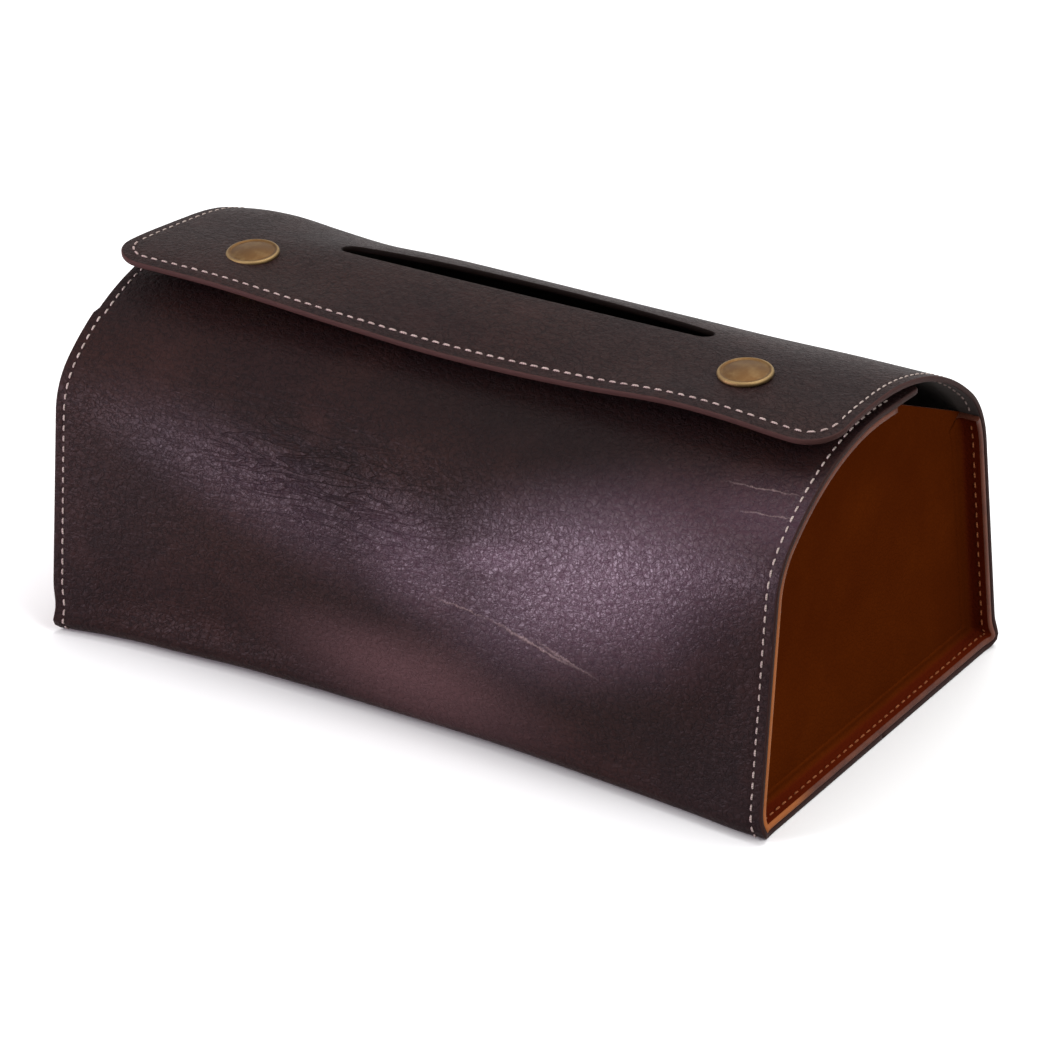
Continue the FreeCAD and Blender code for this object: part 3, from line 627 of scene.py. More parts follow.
def espresso_leather():
    """The face of the strip: grain, creases and wrinkles in relief, and the marks laid over its brown.

    Where the front has polish, a second and shinier layer is mixed in, broken up by the
    grain, and a painted highlight lightens its colour. Among the marks are painted shade
    under the flap's edge, at the lower right and round the slot, and a painted glow low
    on the front.
    """
    leather = Finish("espresso_leather", Specular_IOR_Level=0.06)
    flat = leather.place("flat")
    wander = leather.add("ShaderNodeTexNoise", None, {"Vector": flat, "Scale": 0.6, "Detail": 3.0}, "Color")
    bent = leather.add("ShaderNodeVectorMath", {"operation": "MULTIPLY_ADD"},
                       {0: wander, 1: (2.0, 2.0, 0.0), 2: flat})
    grain = leather.stretched(bent, (0.95, 0.8, 1.0), 24)
    pebble = leather.cells(grain, 0.72, "SMOOTH_F1")
    crack = leather.cells(grain, 0.72, "DISTANCE_TO_EDGE").between(0.2, 0.0)
    folded = leather.noise(leather.stretched(bent, (0.36, 0.72, 1.0), -18), 1.0, 2.0, 0.5, 0.3)
    crease = ridges(folded, 0.0022)
    pulled = leather.noise(leather.stretched(flat, (0.05, 0.26, 1.0), 12), 1.0, 2.0, 0.5, 0.9)
    wrinkle = ridges(pulled, 0.0030) * leather.marks(flat, WRINKLED)
    swell = leather.noise(leather.stretched(flat, (0.22, 0.34, 1.0), 14), 1.0, 3.0, 0.55)
    mottle = leather.noise(leather.stretched(bent, (0.42, 0.6, 1.0), -30), 1.0, 2.0, 0.6)
    fine = leather.noise(flat, 1.5, 2.0, 0.5)
    # the paler crease lines
    rubbed = leather.marks(bent, PALE_CREASE_LINES)
    relief = leather.relief((1 - pebble) * 0.9 - crease * 0.8 + swell * 1.4 + mottle * 1.6 + rubbed * 1.6
                            - crack * 0.35 - wrinkle * 2.6, 0.00014)

    # the shinier layer and the painted highlight, with less of both by the right seam
    polish_and_highlight = leather.marks(flat, POLISH_AND_HIGHLIGHT_HIGH) * (1 - leather.marks(flat, SHADE_BY_SEAM))
    polish_and_highlight = polish_and_highlight.most(leather.marks(flat, POLISH_AND_HIGHLIGHT_LOW))
    # painted shade: the top darker round the slot
    painted_slot_shade = leather.mark(flat, (0, length_on_top(SLOT_Y)), (76, 13)) * 0.9
    blotch = leather.noise(flat, 0.022, 3.0, 0.55).between(0.35, 0.65)
    worn = leather.noise(flat, 0.05, 4.0, 0.6).between(0.5, 0.75)
    colour = leather.mixed(blotch, tone(31, 18, 18), tone(38, 22, 20))
    # over the brown: darker creases, cracks and wrinkles, random wear, the painted highlight, a painted
    # glow, painted shade under the flap's edge and at the lower right, painted shade round the slot, and
    # paler crease lines
    for strength, tint in (
            (crease * 0.5 + crack * 0.3 + wrinkle * 0.5, (18, 10, 11)), (worn * 0.3, (52, 32, 30)),
            (polish_and_highlight * 0.6, (78, 50, 68)), (leather.marks(flat, PAINTED_GLOW), (82, 59, 60)),
            (leather.marks(flat, PAINTED_SHADE), (19, 12, 12)), (painted_slot_shade, (22, 13, 12)),
            (rubbed * (0.15 + fine * 0.75), (142, 122, 119))):
        colour = leather.mixed(strength.clamped(), colour, tone(*tint))
    sheen = polish_and_highlight * (0.3 + mottle * 0.95 - crack * 0.3 - wrinkle * 0.5)
    leather.overlaid(sheen.clamped(), 0.36 + fine * 0.06, 0.5, Base_Color=colour, Normal=relief)
    return leather.shade(Base_Color=colour, Roughness=0.43 + fine * 0.06 + crease * 0.08, Normal=relief)


# %% [markdown]
# ## The strip's cut edge and its inside
#
# The edge of the strip is burnished: rubbed until the fibres lie flat and shine a
# little. The inside is a dark backing leather with a short nap, which stays matt.


# %% The cut edge, the backing, and the strip's three finishes
def burnished_edge():
    """Cut edge of the strip: rubbed smooth, paler and redder along the flap, and painted shade, near black,
    round the slot.
    """
    edge = Finish("burnished_edge", Specular_IOR_Level=0.03)
    where = edge.place("flat")
    fibre = edge.noise(edge.stretched(where, (0.4, 0.4, 6.0)), 1.0, 3.0)
    length = edge.part(where, "Y")
    case_edge = edge.mixed(fibre, tone(34, 22, 21), tone(60, 40, 37))
    flap_edge = edge.mixed(fibre, tone(46, 30, 29), tone(72, 49, 46))
    # painted shade: the cut edge near black round the slot
    rim = edge.mark(where, (0, length_on_top(SLOT_Y)), (100, 26))
    flap_edge = edge.mixed((rim * 3.0).clamped(), flap_edge, tone(16, 10, 9))
    on_flap = length.between(STRIP_END - 75, STRIP_END - 35)
    return edge.shade(Base_Color=edge.mixed(on_flap, case_edge, flap_edge),
                      Roughness=0.42 + fibre * 0.15, Normal=edge.relief(fibre, 0.0001))


def backing():
    """The inside of the strip: matt dark backing with a short nap."""
    nap = Finish("backing", Roughness=0.85)
    where = nap.place("flat")
    pile = nap.noise(where, 3.5, 4.0, 0.7)
    return nap.shade(Base_Color=nap.mixed(pile, tone(26, 19, 17), tone(44, 33, 29)),
                     Roughness=0.8 + pile * 0.12, Normal=nap.relief(pile, 0.0001))


STRIP_FINISHES = (espresso_leather(), burnished_edge(), backing())
print("strip finishes:", [finish.name for finish in STRIP_FINISHES])

# %% [markdown]
# ## Outlines on the flat leather
#
# A leather worker cuts the strip flat. The same is done here: the outline and the
# holes are drawn on the flat leather, x across the strip and s along it. Corners are
# arcs that touch both their sides, and the slot is a lens between two long arcs.

# %% Sizes on the flat leather, and its outlines
FLAP_CORNER = 11.0      # the flap's corner radius
SLOT_HALF, SLOT_WIDE, SLOT_TIP = 60.0, 5.75, 3.5    # half length, half width, tip radius
SNAP_X, SNAP_Y = 79.15, -13.4
SNAP_HOLE = 1.9         # radius
SEAM = HALF - 3.0                   # the stitch line's half width
FLAP_FRONT = STRIP_END - 3.9        # and where it crosses the flap's front
SEAM_CORNER = 8.0                   # its radius at the flap's corners
SEWN_FROM = 4.0                     # y where the end trays and their seams start on the margin
NOTCH_HALF, NOTCH_Y, NOTCH_CORNER = 66.0, -8.15, 7.0
TONGUE_CORNER = 1.5                 # the margin's corners beside the notch
EDGE_ROUND = 0.35                   # how far the rounded cut edge swells out
OUTLINE_STEP, SLOT_STEP = 2.0, 1.2


def rounded_outline(corners):
    """Points along a polygon whose corners are (x, s, radius), each rounded by its radius.

    The arc at a corner touches both its sides. Straight parts are divided evenly.
    """
    corners = np.array(corners, float)
    here, before, after = corners[:, :2], np.roll(corners[:, :2], 1, 0), np.roll(corners[:, :2], -1, 0)
    to_before = (before - here) / np.linalg.norm(before - here, axis=1, keepdims=True)
    to_after = (after - here) / np.linalg.norm(after - here, axis=1, keepdims=True)
    half_angle = np.arccos(np.clip((to_before * to_after).sum(1), -1, 1)) / 2
    back_off = (corners[:, 2] / np.tan(half_angle))[:, None]
    starts, ends = here + to_before * back_off, here + to_after * back_off
    halfway = (to_before + to_after) / np.linalg.norm(to_before + to_after, axis=1, keepdims=True)
    middles = here + halfway * (corners[:, 2] / np.sin(half_angle))[:, None]
    parts = []
    for n, (start, end, middle, radius) in enumerate(zip(starts, ends, middles, corners[:, 2])):
        if radius:
            a, b = (math.atan2(*(p - middle)[::-1]) for p in (start, end))
            sweep = (b - a + math.pi) % (2 * math.pi) - math.pi
            steps = max(4, int(abs(sweep) * radius / OUTLINE_STEP * 1.5) + 2)
            turn = a + sweep * np.linspace(0, 1, steps)
            parts.append(middle + radius * np.stack([np.cos(turn), np.sin(turn)], 1))
        else:
            parts.append(start[None])
        to = starts[(n + 1) % len(starts)]
        count = max(1, int(round(np.linalg.norm(to - end) / OUTLINE_STEP)))
        parts.append(end + (to - end) * np.linspace(0, 1, count + 1)[1:-1, None])
    loop = np.concatenate(parts)
    return loop[np.linalg.norm(loop - np.roll(loop, 1, 0), axis=1) > 1e-4]


def snap_holes(s, count=20):
    """The two snaps' holes at length s: circles drawn clockwise, so that the leather is on the left."""
    turn = -2 * math.pi * np.arange(count) / count
    circle = SNAP_HOLE * np.stack([np.cos(turn), np.sin(turn)], 1)
    return [circle + (side * SNAP_X, s) for side in (-1, 1)]


def slot_outline():
    """The lens: two long bowed sides that touch two small round tips, drawn clockwise."""
    reach = SLOT_HALF - SLOT_TIP
    radius = (reach ** 2 + SLOT_WIDE ** 2 - SLOT_TIP ** 2) / (2 * (SLOT_WIDE - SLOT_TIP))
    sag = radius - SLOT_WIDE
    lean = math.atan2(sag, reach)
    tips = np.linspace(lean, -lean, 9)[1:-1]
    sides = np.linspace(math.pi - lean, lean, int(2 * SLOT_HALF / SLOT_STEP))
    far = np.stack([radius * np.cos(sides), radius * np.sin(sides) - sag], 1)
    end = np.stack([reach + SLOT_TIP * np.cos(tips), SLOT_TIP * np.sin(tips)], 1)
    return np.concatenate([far, end, -far, -end]) + (0, length_on_top(SLOT_Y))


def front_outline():
    """The front half: the margin with its notch under the slot, down to the middle of the base."""
    inside, notch_x = HALF - EDGE_ROUND, NOTCH_HALF + EDGE_ROUND
    notch_s = length_on_margin(NOTCH_Y) + EDGE_ROUND
    return rounded_outline([
        (-inside, EDGE_ROUND, TONGUE_CORNER), (-notch_x, EDGE_ROUND, TONGUE_CORNER),
        (-notch_x, notch_s, NOTCH_CORNER), (notch_x, notch_s, NOTCH_CORNER),
        (notch_x, EDGE_ROUND, TONGUE_CORNER), (inside, EDGE_ROUND, TONGUE_CORNER),
        (inside, BASE_MIDDLE, 0), (-inside, BASE_MIDDLE, 0)])


def flap_outline():
    """The back half: from the middle of the base to the flap's round-cornered free edge."""
    inside, end, corner = HALF - EDGE_ROUND, STRIP_END - EDGE_ROUND, FLAP_CORNER - EDGE_ROUND
    return rounded_outline([(-inside, BASE_MIDDLE, 0), (inside, BASE_MIDDLE, 0),
                            (inside, end, corner), (-inside, end, corner)])


print("outlines: front %d, flap %d, slot %d points" % tuple(
    len(outline()) for outline in (front_outline, flap_outline, slot_outline)))

# %% [markdown]
# ## Points inside the outlines
#
# Points are spread inside the outlines, and a triangulation joins them without
# crossing an edge. Rows of points beside the edges carry the pressed stitch line, and
# a staggered grid, which gives nearly equal triangles, fills the rest.

# %% Cut and triangulate a pattern
BESIDE_EDGES = (0.45, 1.1, 2.0, 2.6, 3.0, 3.4, 4.1, 5.3)    # closest beside the stitch line
GRID = 2.4
ROW_HEIGHT = 0.866                                          # of a triangle with equal sides


def inside_loops(points, loops):
    """True for points that a line to the right leaves through an odd number of outline edges."""
    start = np.concatenate(loops)
    end = np.concatenate([np.roll(loop, -1, 0) for loop in loops])
    inside = np.zeros(len(points), bool)
    for part in np.array_split(np.arange(len(points)), max(1, len(points) // 4000)):
        px, py = points[part, :1], points[part, 1:]
        crossing = (start[:, 1] > py) != (end[:, 1] > py)
        rise = np.where(crossing, end[:, 1] - start[:, 1], 1)
        at = start[:, 0] + (py - start[:, 1]) * (end[:, 0] - start[:, 0]) / rise
        inside[part] = (crossing & (px < at)).sum(1) % 2 == 1
    return inside


def nearest(points, loops):
    """Each point's distance to the nearest outline edge."""
    start = np.concatenate(loops)
    run = np.concatenate([np.roll(loop, -1, 0) for loop in loops]) - start
    best = np.full(len(points), 1e9)
    for part in np.array_split(np.arange(len(points)), max(1, len(points) // 2000)):
        gap = points[part, None] - start
        t = np.clip((gap * run).sum(2) / (run ** 2).sum(1), 0, 1)
        best[part] = np.linalg.norm(gap - t[..., None] * run, axis=2).min(1)
    return best


def cut_pattern(loops):
    """Points inside the outlines and the triangles between them, on the flat leather.

    The points are the outlines, the rows beside them and the grid. A row's point is
    kept only at its own distance from every edge.
    """
    edges = np.concatenate(loops)
    rows = []
    for loop in loops:
        along = np.roll(loop, -1, 0) - np.roll(loop, 1, 0)
        inward = np.stack([-along[:, 1], along[:, 0]], 1) / np.linalg.norm(along, axis=1, keepdims=True)
        for distance in BESIDE_EDGES:
            row = loop + inward * distance
            rows.append(row[nearest(row, loops) > 0.93 * distance])
    low, high = edges.min(0), edges.max(0)
    gx, gs = np.meshgrid(np.arange(low[0], high[0], GRID), np.arange(low[1], high[1], GRID * ROW_HEIGHT))
    gx = gx + (np.arange(len(gx))[:, None] % 2) * GRID / 2
    grid = np.stack([gx.ravel(), gs.ravel()], 1)
    grid = grid[nearest(grid, loops) > BESIDE_EDGES[-1] + 0.6 * GRID]
    points = np.concatenate([edges, *rows, grid])
    points = points[np.concatenate([np.ones(len(edges), bool), inside_loops(points[len(edges):], loops)])]
    ends, first = [], 0
    for loop in loops:
        ring = first + np.arange(len(loop))
        ends.append(np.stack([ring, np.roll(ring, -1)], 1))
        first += len(loop)
    made = delaunay_2d_cdt(points.tolist(), np.concatenate(ends).tolist(), [], 0, 1e-6)
    flat, triangles = np.array(made[0])[:, :2], np.array(made[2])
    return flat, triangles[inside_loops(flat[triangles].mean(1), loops)]


SQUARE = rounded_outline([(-20, -20, 0), (20, -20, 0), (20, 20, 0), (-20, 20, 0)])
print("a square of 40 mm is cut into %d triangles" % len(cut_pattern([SQUARE])[1]))

# %% [markdown]
# ## Folding the cut pattern
#
# Every point of the pattern is folded with `strip_point`, once at the face and once
# one leather thickness in. Between the two, the cut edge swells outwards a little,
# as an edge does when it is rubbed. The thread presses a groove into the face, and
# each cap a dimple round itself.

# %% Press and fold
ROUNDING = (  # how far the cut edge swells out, and at what depth
    (0.2, 0.08), (0.33, 0.3), (0.35, 0.8), (0.33, 1.3), (0.2, 1.52))
GROOVE_DEPTH, GROOVE_WIDTH = 0.16, 0.55
DIMPLE_DEPTH, DIMPLE_RADIUS, DIMPLE_WIDTH = 0.14, 8.3, 0.7


def seam_distance(x, s):
    """How far a place on the flat leather is from the stitch line, which goes round the flap's corners."""
    qx, qs = np.abs(x) - (SEAM - SEAM_CORNER), s - (FLAP_FRONT - SEAM_CORNER)
    inside = SEAM_CORNER - np.hypot(np.maximum(qx, 0), np.maximum(qs, 0)) - np.minimum(np.maximum(qx, qs), 0)
    return np.abs(inside)


def pressed(x, s):
    """How deep the outer face is pressed: the stitch line's groove, and the dimple round a snap."""
    groove = GROOVE_DEPTH * bell(seam_distance(x, s), 0, GROOVE_WIDTH)
    sewn = s > length_on_margin(SEWN_FROM)
    from_snap = np.hypot(np.abs(x) - SNAP_X, s - length_on_top(SNAP_Y))
    return groove * sewn + DIMPLE_DEPTH * bell(from_snap, DIMPLE_RADIUS, DIMPLE_WIDTH)


def rim_of(flat, triangles):
    """The edges that only one triangle uses, and the direction out of the leather at each point.

    There is no outward direction across the base seam, where the two halves meet.
    """
    edges = np.concatenate([triangles[:, pair] for pair in ((0, 1), (1, 2), (2, 0))])
    _, index, uses = np.unique(np.sort(edges, 1) @ (1, len(flat)), return_index=True, return_counts=True)
    rim = edges[index[uses == 1]]
    run = flat[rim[:, 1]] - flat[rim[:, 0]]
    outward = np.stack([run[:, 1], -run[:, 0]], 1) / np.linalg.norm(run, axis=1, keepdims=True)
    normals = np.zeros_like(flat)
    np.add.at(normals, rim[:, 0], outward)
    np.add.at(normals, rim[:, 1], outward)
    normals[np.abs(flat[:, 1] - BASE_MIDDLE) < 0.01, 1] = 0
    return rim, normals / np.maximum(np.linalg.norm(normals, axis=1, keepdims=True), 0.3)


def fold_leather(name, loops):
    """Fold a cut pattern into a piece with an outer face, a lining face and rounded cut edges.

    The outer face lies at its pressed depth and the lining one leather thickness in.
    At every edge, rows between the two swell outwards by ROUNDING's amounts.
    """
    flat, triangles = cut_pattern(loops)
    a, b, c = (flat[triangles[:, n]] for n in range(3))
    backwards = (b - a)[:, 0] * (c - a)[:, 1] < (b - a)[:, 1] * (c - a)[:, 0]
    triangles[backwards] = triangles[backwards][:, ::-1]
    rim, normals = rim_of(flat, triangles)
    around, corners = np.unique(rim, return_inverse=True)
    corners = corners.reshape(rim.shape)

    places, depths = [flat, flat], [pressed(*flat.T), np.full(len(flat), LEATHER)]
    for offset, depth in ROUNDING:
        places.append(flat[around] + offset * normals[around])
        depths.append(np.full(len(around), depth))
    swollen = 2 * len(flat) + np.arange(len(ROUNDING) * len(around)).reshape(len(ROUNDING), -1)
    rows = [around, *swollen, len(flat) + around]
    one, two = corners.T
    walls = [np.stack([outer[one], outer[two], inner[two], inner[one]], 1)
             for outer, inner in zip(rows[:-1], rows[1:])]
    places, depths = np.concatenate(places), np.concatenate(depths)
    faces = [(triangles[:, ::-1], 0), (np.concatenate(walls), 1), (triangles + len(flat), 2)]
    return new_piece(name, strip_point(*places.T, depths), faces, STRIP_FINISHES,
                     flat=np.column_stack([places, depths]))


print("the thread presses the leather %.2f mm deep" % pressed(SEAM, FOLD_TOP))

# %% [markdown]
# ## The front and base, and the back and flap
#
# The strip is made as two pieces that meet under the box, in the middle of the base.
# The front half stays with the case. The back half starts on the case and ends on the
# flap; it is attached to neither body.


# %% Fold the strip
def bend_at_fold(piece):
    """Bake a piece's placement into its mesh; it is attached to neither body."""
    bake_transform(piece)


front_and_base = fold_leather("front_and_base", [front_outline(), *snap_holes(length_on_margin(SNAP_Y))])
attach(front_and_base, "case")

back_and_flap = fold_leather("back_and_flap", [
    flap_outline(), slot_outline(), *snap_holes(length_on_top(SNAP_Y))])
bend_at_fold(back_and_flap)
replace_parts(back_and_flap, "body_wrap", "body_lining", "top_flap", "flap_lining")

# %% [markdown]
# ## Cognac leather
#
# The end trays are vegetable-tanned: a warm, even brown with a faint grain. Painted
# shade makes them darker and redder on the turned-out rim, in the recess's corners.
# Their cut edges are rubbed dark, and painted light makes the front one bright,
# most towards its foot.


# %% Cognac leather and its cut edge
def cognac_leather():
    """The trays' face: fine cells in relief over two warm browns, with painted shade, darker and redder, on
    the turned-out rim.
    """
    leather = Finish("cognac_leather", Specular_IOR_Level=0.0)
    where = leather.place()
    pebble = leather.cells(where, 700, "DISTANCE_TO_EDGE").between(0.0, 0.2)
    blotch = leather.noise(where, 26, 4.0, 0.6).between(0.3, 0.7)
    fine = leather.noise(where, 900, 3.0, 0.6)
    colour = leather.mixed(blotch, tone(71, 26, 4), tone(81, 32, 5))
    colour = leather.mixed(((1 - pebble) * 0.3).clamped(), colour, tone(66, 24, 4))
    # painted shade: darker and redder on the turned-out rim, in the recess's corners
    colour = leather.mixed(leather.number("turned_out") * 0.6, colour, tone(84, 22, 10))
    return leather.shade(Base_Color=colour, Roughness=0.46 + fine * 0.12,
                         Normal=leather.relief(pebble * 0.6 + fine * 0.4, 0.00008))


def cognac_edge():
    """The trays' cut edge: rubbed dark, with painted light that makes it bright where it comes down the
    front.
    """
    edge = Finish("cognac_edge", Specular_IOR_Level=0.3)
    where = edge.place()
    fibre = edge.noise(where, 1600, 3.0, 0.6)
    patch = edge.noise(where, 120, 3.0, 0.6)
    rubbed = edge.mixed((patch * 0.6 + fibre * 0.4).between(0.35, 0.65), tone(72, 34, 22), tone(98, 52, 34))
    # painted light: the front edge bright, most towards its foot
    front = edge.part(where, "Y").between(-0.035, -0.05) * edge.part(where, "Z").between(0.085, 0.05)
    colour = edge.mixed((front * 0.85).clamped(), rubbed, tone(160, 90, 36))
    return edge.shade(Base_Color=colour, Roughness=0.55 + fibre * 0.2, Normal=edge.relief(fibre, 0.0001))


TRAY_FINISHES = (cognac_leather(), cognac_edge())
print("tray finishes:", [finish.name for finish in TRAY_FINISHES])

# %% [markdown]
# ## The end trays
#
# Each tray is pressed from one piece: a flat panel set back into the box, whose rim
# turns outwards and lies against the inside of the strip. The section through that
# rim is carried along the strip's path at the trays' depth, so the tray follows the
# same folds as the leather that it is sewn to.

# %% Press the trays
PANEL = 1.8                 # the tray leather's thickness
PANEL_FACE = HALF - 6.5     # x of the flat panel's outer face
BEND = 1.5                  # inner radius where the rim turns out
TRAY_ROWS = 230             # places along the rim
PLATE_ROWS = (0.06, 0.02)   # rows on the flat panel, as shares of the way to its middle


def arc_points(x, depth, radius, start, end, count):
    """Points on an arc in the section's own plane: (x, depth) plus the radius at each angle."""
    turn = np.radians(np.linspace(start, end, count))
    return np.stack([x + radius * np.cos(turn), depth + radius * np.sin(turn)], 1)


def tray_section():
    """The rim's closed section as (x, depth): panel face, inner bend, flange, its edge, and back."""
    inner = LEATHER + PANEL
    round_edge = PANEL / 2 * 0.7
    edge_x = HALF - 0.1 - round_edge
    return np.concatenate([
        arc_points(PANEL_FACE + BEND, inner + BEND, BEND, 180, 270, 7),
        [(PANEL_FACE + BEND + 1.5, inner), (edge_x - 0.6, inner)],
        arc_points(edge_x, inner - round_edge, round_edge, 90, 0, 5),
        arc_points(edge_x, LEATHER + round_edge, round_edge, 0, -90, 5),
        [(edge_x - 0.6, LEATHER), (PANEL_FACE + 0.6, LEATHER)],
        arc_points(PANEL_FACE, inner, PANEL, 270, 180, 7),
        [(PANEL_FACE - PANEL, inner + BEND)],
    ])


def end_tray(name, side):
    """A tray: the rim's section carried along the strip's path, and the flat panel inside it.

    The rim's innermost rows lie on the panel and move towards its middle. Both parts
    are closed. The panel is a slab between the innermost row and the straight top edge.
    """
    section = tray_section()
    start, end = length_on_margin(SEWN_FROM), FOLD_TOP
    along = np.linspace(start, end, TRAY_ROWS)
    points = strip_point(side * section[None, :, 0], along[:, None], section[None, :, 1])
    first_row, last_row = points[:, :1], points[:, -1:]
    middle = first_row.mean(0) * (0, 1, 1)
    inner_rows = [row + share * (middle - row) * (0, 1, 1)
                  for row in (first_row, last_row) for share in PLATE_ROWS]
    points = np.concatenate([*inner_rows[:2], points, *inner_rows[:1:-1]], 1)
    section = np.concatenate([section[[0, 0]], section, section[[-1, -1]]])
    rows, columns = points.shape[:2]
    rim = grid_faces(rows, columns, around=True)
    on_edge = section[:, 0] > HALF - 1.3
    edge_face = on_edge[rim[:, 0] % columns] & on_edge[rim[:, 1] % columns]
    closing = rim[:, 0] % columns == columns - 1
    ends = [np.arange(columns)[None], ((rows - 1) * columns + np.arange(columns))[None, ::-1]]

    top = strip_point(side * PANEL_FACE, np.array([start, end]), LEATHER)
    outline = np.concatenate([points[:, 0], top[::-1]])
    slab = np.concatenate([outline, outline - (side * PANEL, 0, 0)])
    slab[:len(outline), 0], slab[len(outline):, 0] = side * PANEL_FACE, side * (PANEL_FACE - PANEL)
    count, first = len(outline), rows * columns
    ring = np.arange(count)
    walls = np.stack([ring, ring + count, np.roll(ring, -1) + count, np.roll(ring, -1)], 1) + first
    faces = [(rim[~edge_face & ~closing], 0), (rim[edge_face], 1), (rim[closing], 1, "flat"),
             (ends[0], 1, "flat"), (ends[1], 1, "flat"), (ring[None, ::-1] + first, 0, "flat"),
             (ring[None] + first + count, 0, "flat"), (walls, 1, "flat")]
    if side > 0:
        faces = [(block[:, ::-1], *rest) for block, *rest in faces]
    turned_out = np.tile(ease(section[:, 0], PANEL_FACE, PANEL_FACE + BEND), (rows, 1)).ravel()
    tray = new_piece(name, np.concatenate([points.reshape(-1, 3), slab]), faces, TRAY_FINISHES,
                     values={"turned_out": np.concatenate([turned_out, np.zeros(2 * count)])})
    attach(tray, "case")
    return tray


right_tray = end_tray("right_tray", 1)
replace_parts(right_tray, "right_end_panel")
left_tray = end_tray("left_tray", -1)
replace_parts(left_tray, "left_end_panel")

# %% [markdown]
# ## Thread
#
# The seams are saddle-stitched by hand with waxed thread, seven or eight stitches to
# the inch. A stitch is a short bowed length of thread whose ends dive into the
# leather. One stitch is modelled and set along the seams on the flat leather, then
# folded with it, so each follows the surface under it.


# %% One stitch, and its places along a seam
def one_stitch(dash, thread, rows=7, sides=8):
    """A stitch lying along its second axis, closed at both ends: (sideways, along, height) and faces.

    It is dash long. Its middle line rises as 1 - t^4 towards the middle, and the
    thread's radius shrinks near both ends as the square root of 1 - t^6.
    """
    t = np.linspace(-0.985, 0.985, rows)
    turn = 2 * math.pi * np.arange(sides) / sides
    radius = thread * np.sqrt(1 - t ** 6)
    rise = 0.28 * (1 - t ** 4) - 0.14
    along = np.broadcast_to((t * dash / 2)[:, None], (rows, sides))
    points = np.stack([radius[:, None] * np.cos(turn), along,
                       rise[:, None] + radius[:, None] * 0.8 * np.sin(turn)], -1).reshape(-1, 3)
    walls = grid_faces(rows, sides, around=True)
    ends = np.array([np.arange(sides)[::-1], (rows - 1) * sides + np.arange(sides)])
    return points, walls[:, ::-1], ends[:, ::-1]


def along_route(route, pitch):
    """Places every pitch along a route of (x, s) points, with the heading at each."""
    route = np.array(route, float)
    length = np.concatenate([[0], np.cumsum(np.linalg.norm(np.diff(route, axis=0), axis=1))])
    count = int(round(length[-1] / pitch))
    at = (np.arange(count) + 0.5) * length[-1] / count
    place, ahead, behind = (np.stack([np.interp(at + nudge, length, route[:, n]) for n in (0, 1)], 1)
                            for nudge in (0, 0.2, -0.2))
    return place, np.arctan2(*(ahead - behind)[:, ::-1].T)


def sew(name, routes, depth, seed, material, pitch, dash, thread):
    """Stitches along routes on the flat leather, lying on the face at a given depth.

    At depth 0 that is the outer face with its pressed groove, and anywhere else the
    stitches show on the inside. Each one is turned by its own degree or two and
    pulled a little more or less tight.
    """
    chance = np.random.default_rng(seed)
    places, headings = map(np.concatenate, zip(*(along_route(route, pitch) for route in routes)))
    shape, walls, ends = one_stitch(dash, thread)
    count = len(places)
    headings = headings + chance.normal(0, 0.035, count)
    scale = 1 + chance.normal(0, 0.05, (count, 3))
    local = shape[None] * scale[:, None]
    c, s = np.cos(headings)[:, None], np.sin(headings)[:, None]
    x = places[:, :1] + local[..., 0] * s + local[..., 1] * c
    y = places[:, 1:] - local[..., 0] * c + local[..., 1] * s
    sunk, height = (0, -local[..., 2]) if depth else (pressed(x, y), local[..., 2])
    points = strip_point(x, y, depth + sunk - height).reshape(-1, 3)
    step = np.arange(count)[:, None, None] * len(shape)
    blocks = [(block[None] + step).reshape(-1, block.shape[1]) for block in (walls, ends)]
    if depth:
        blocks = [block[:, ::-1] for block in blocks]
    number = np.repeat(np.arange(count), len(shape))
    return new_piece(name, points, [(block, 0) for block in blocks], (material,),
                     flat=np.tile(shape, (count, 1)), values={"number": number})


def waxed_thread(name, shade, light, gap):
    """Two plies twisted round each other: slanting ridges across the stitch, and dusty patches."""
    thread = Finish(name, Specular_IOR_Level=0.1)
    ply = thread.add("ShaderNodeTexWave", {"bands_direction": "DIAGONAL"},
                     {"Vector": thread.place("flat"), "Scale": 1.1, "Distortion": 0.6})
    dust = thread.noise(thread.place(), 400, 3.0, 0.6)
    odd = thread.add("ShaderNodeTexWhiteNoise", {"noise_dimensions": "1D"}, {"W": thread.number("number")})
    colour = thread.mixed((dust * 0.6 + odd * 0.4).clamped(), tone(*shade), tone(*light))
    colour = thread.mixed(((1 - ply) * 0.4).clamped(), colour, tone(*gap))
    return thread.shade(Base_Color=colour, Roughness=0.65 + dust * 0.2, Normal=thread.relief(ply, 0.00012))


CREAM_THREAD = waxed_thread("cream_thread", (146, 126, 122), (194, 176, 170), (104, 84, 80))
SEAM_THREAD = waxed_thread("seam_thread", (150, 134, 128), (200, 186, 178), (104, 86, 80))
RUBBED_THREAD = waxed_thread("rubbed_thread", (132, 72, 42), (172, 106, 66), (78, 36, 20))
print("one stitch: %d points" % len(one_stitch(2.0, 0.3)[0]))

# %% [markdown]
# ## The seams
#
# One row goes round the flap and one down each side seam, which takes a thinner
# thread and a shorter stitch. The side seams are parted at the base: their front
# stays with the case, and their back is attached to neither body. The flap's thread
# shows again on the lining, and a rubbed brown one on the trays' turned-out rims.


# %% Sew the seams
def both_sides(x, start, end):
    """The same straight row at both ends of the box, from one length of the strip to another."""
    return [[(side * x, start), (side * x, end)] for side in (-1, 1)]


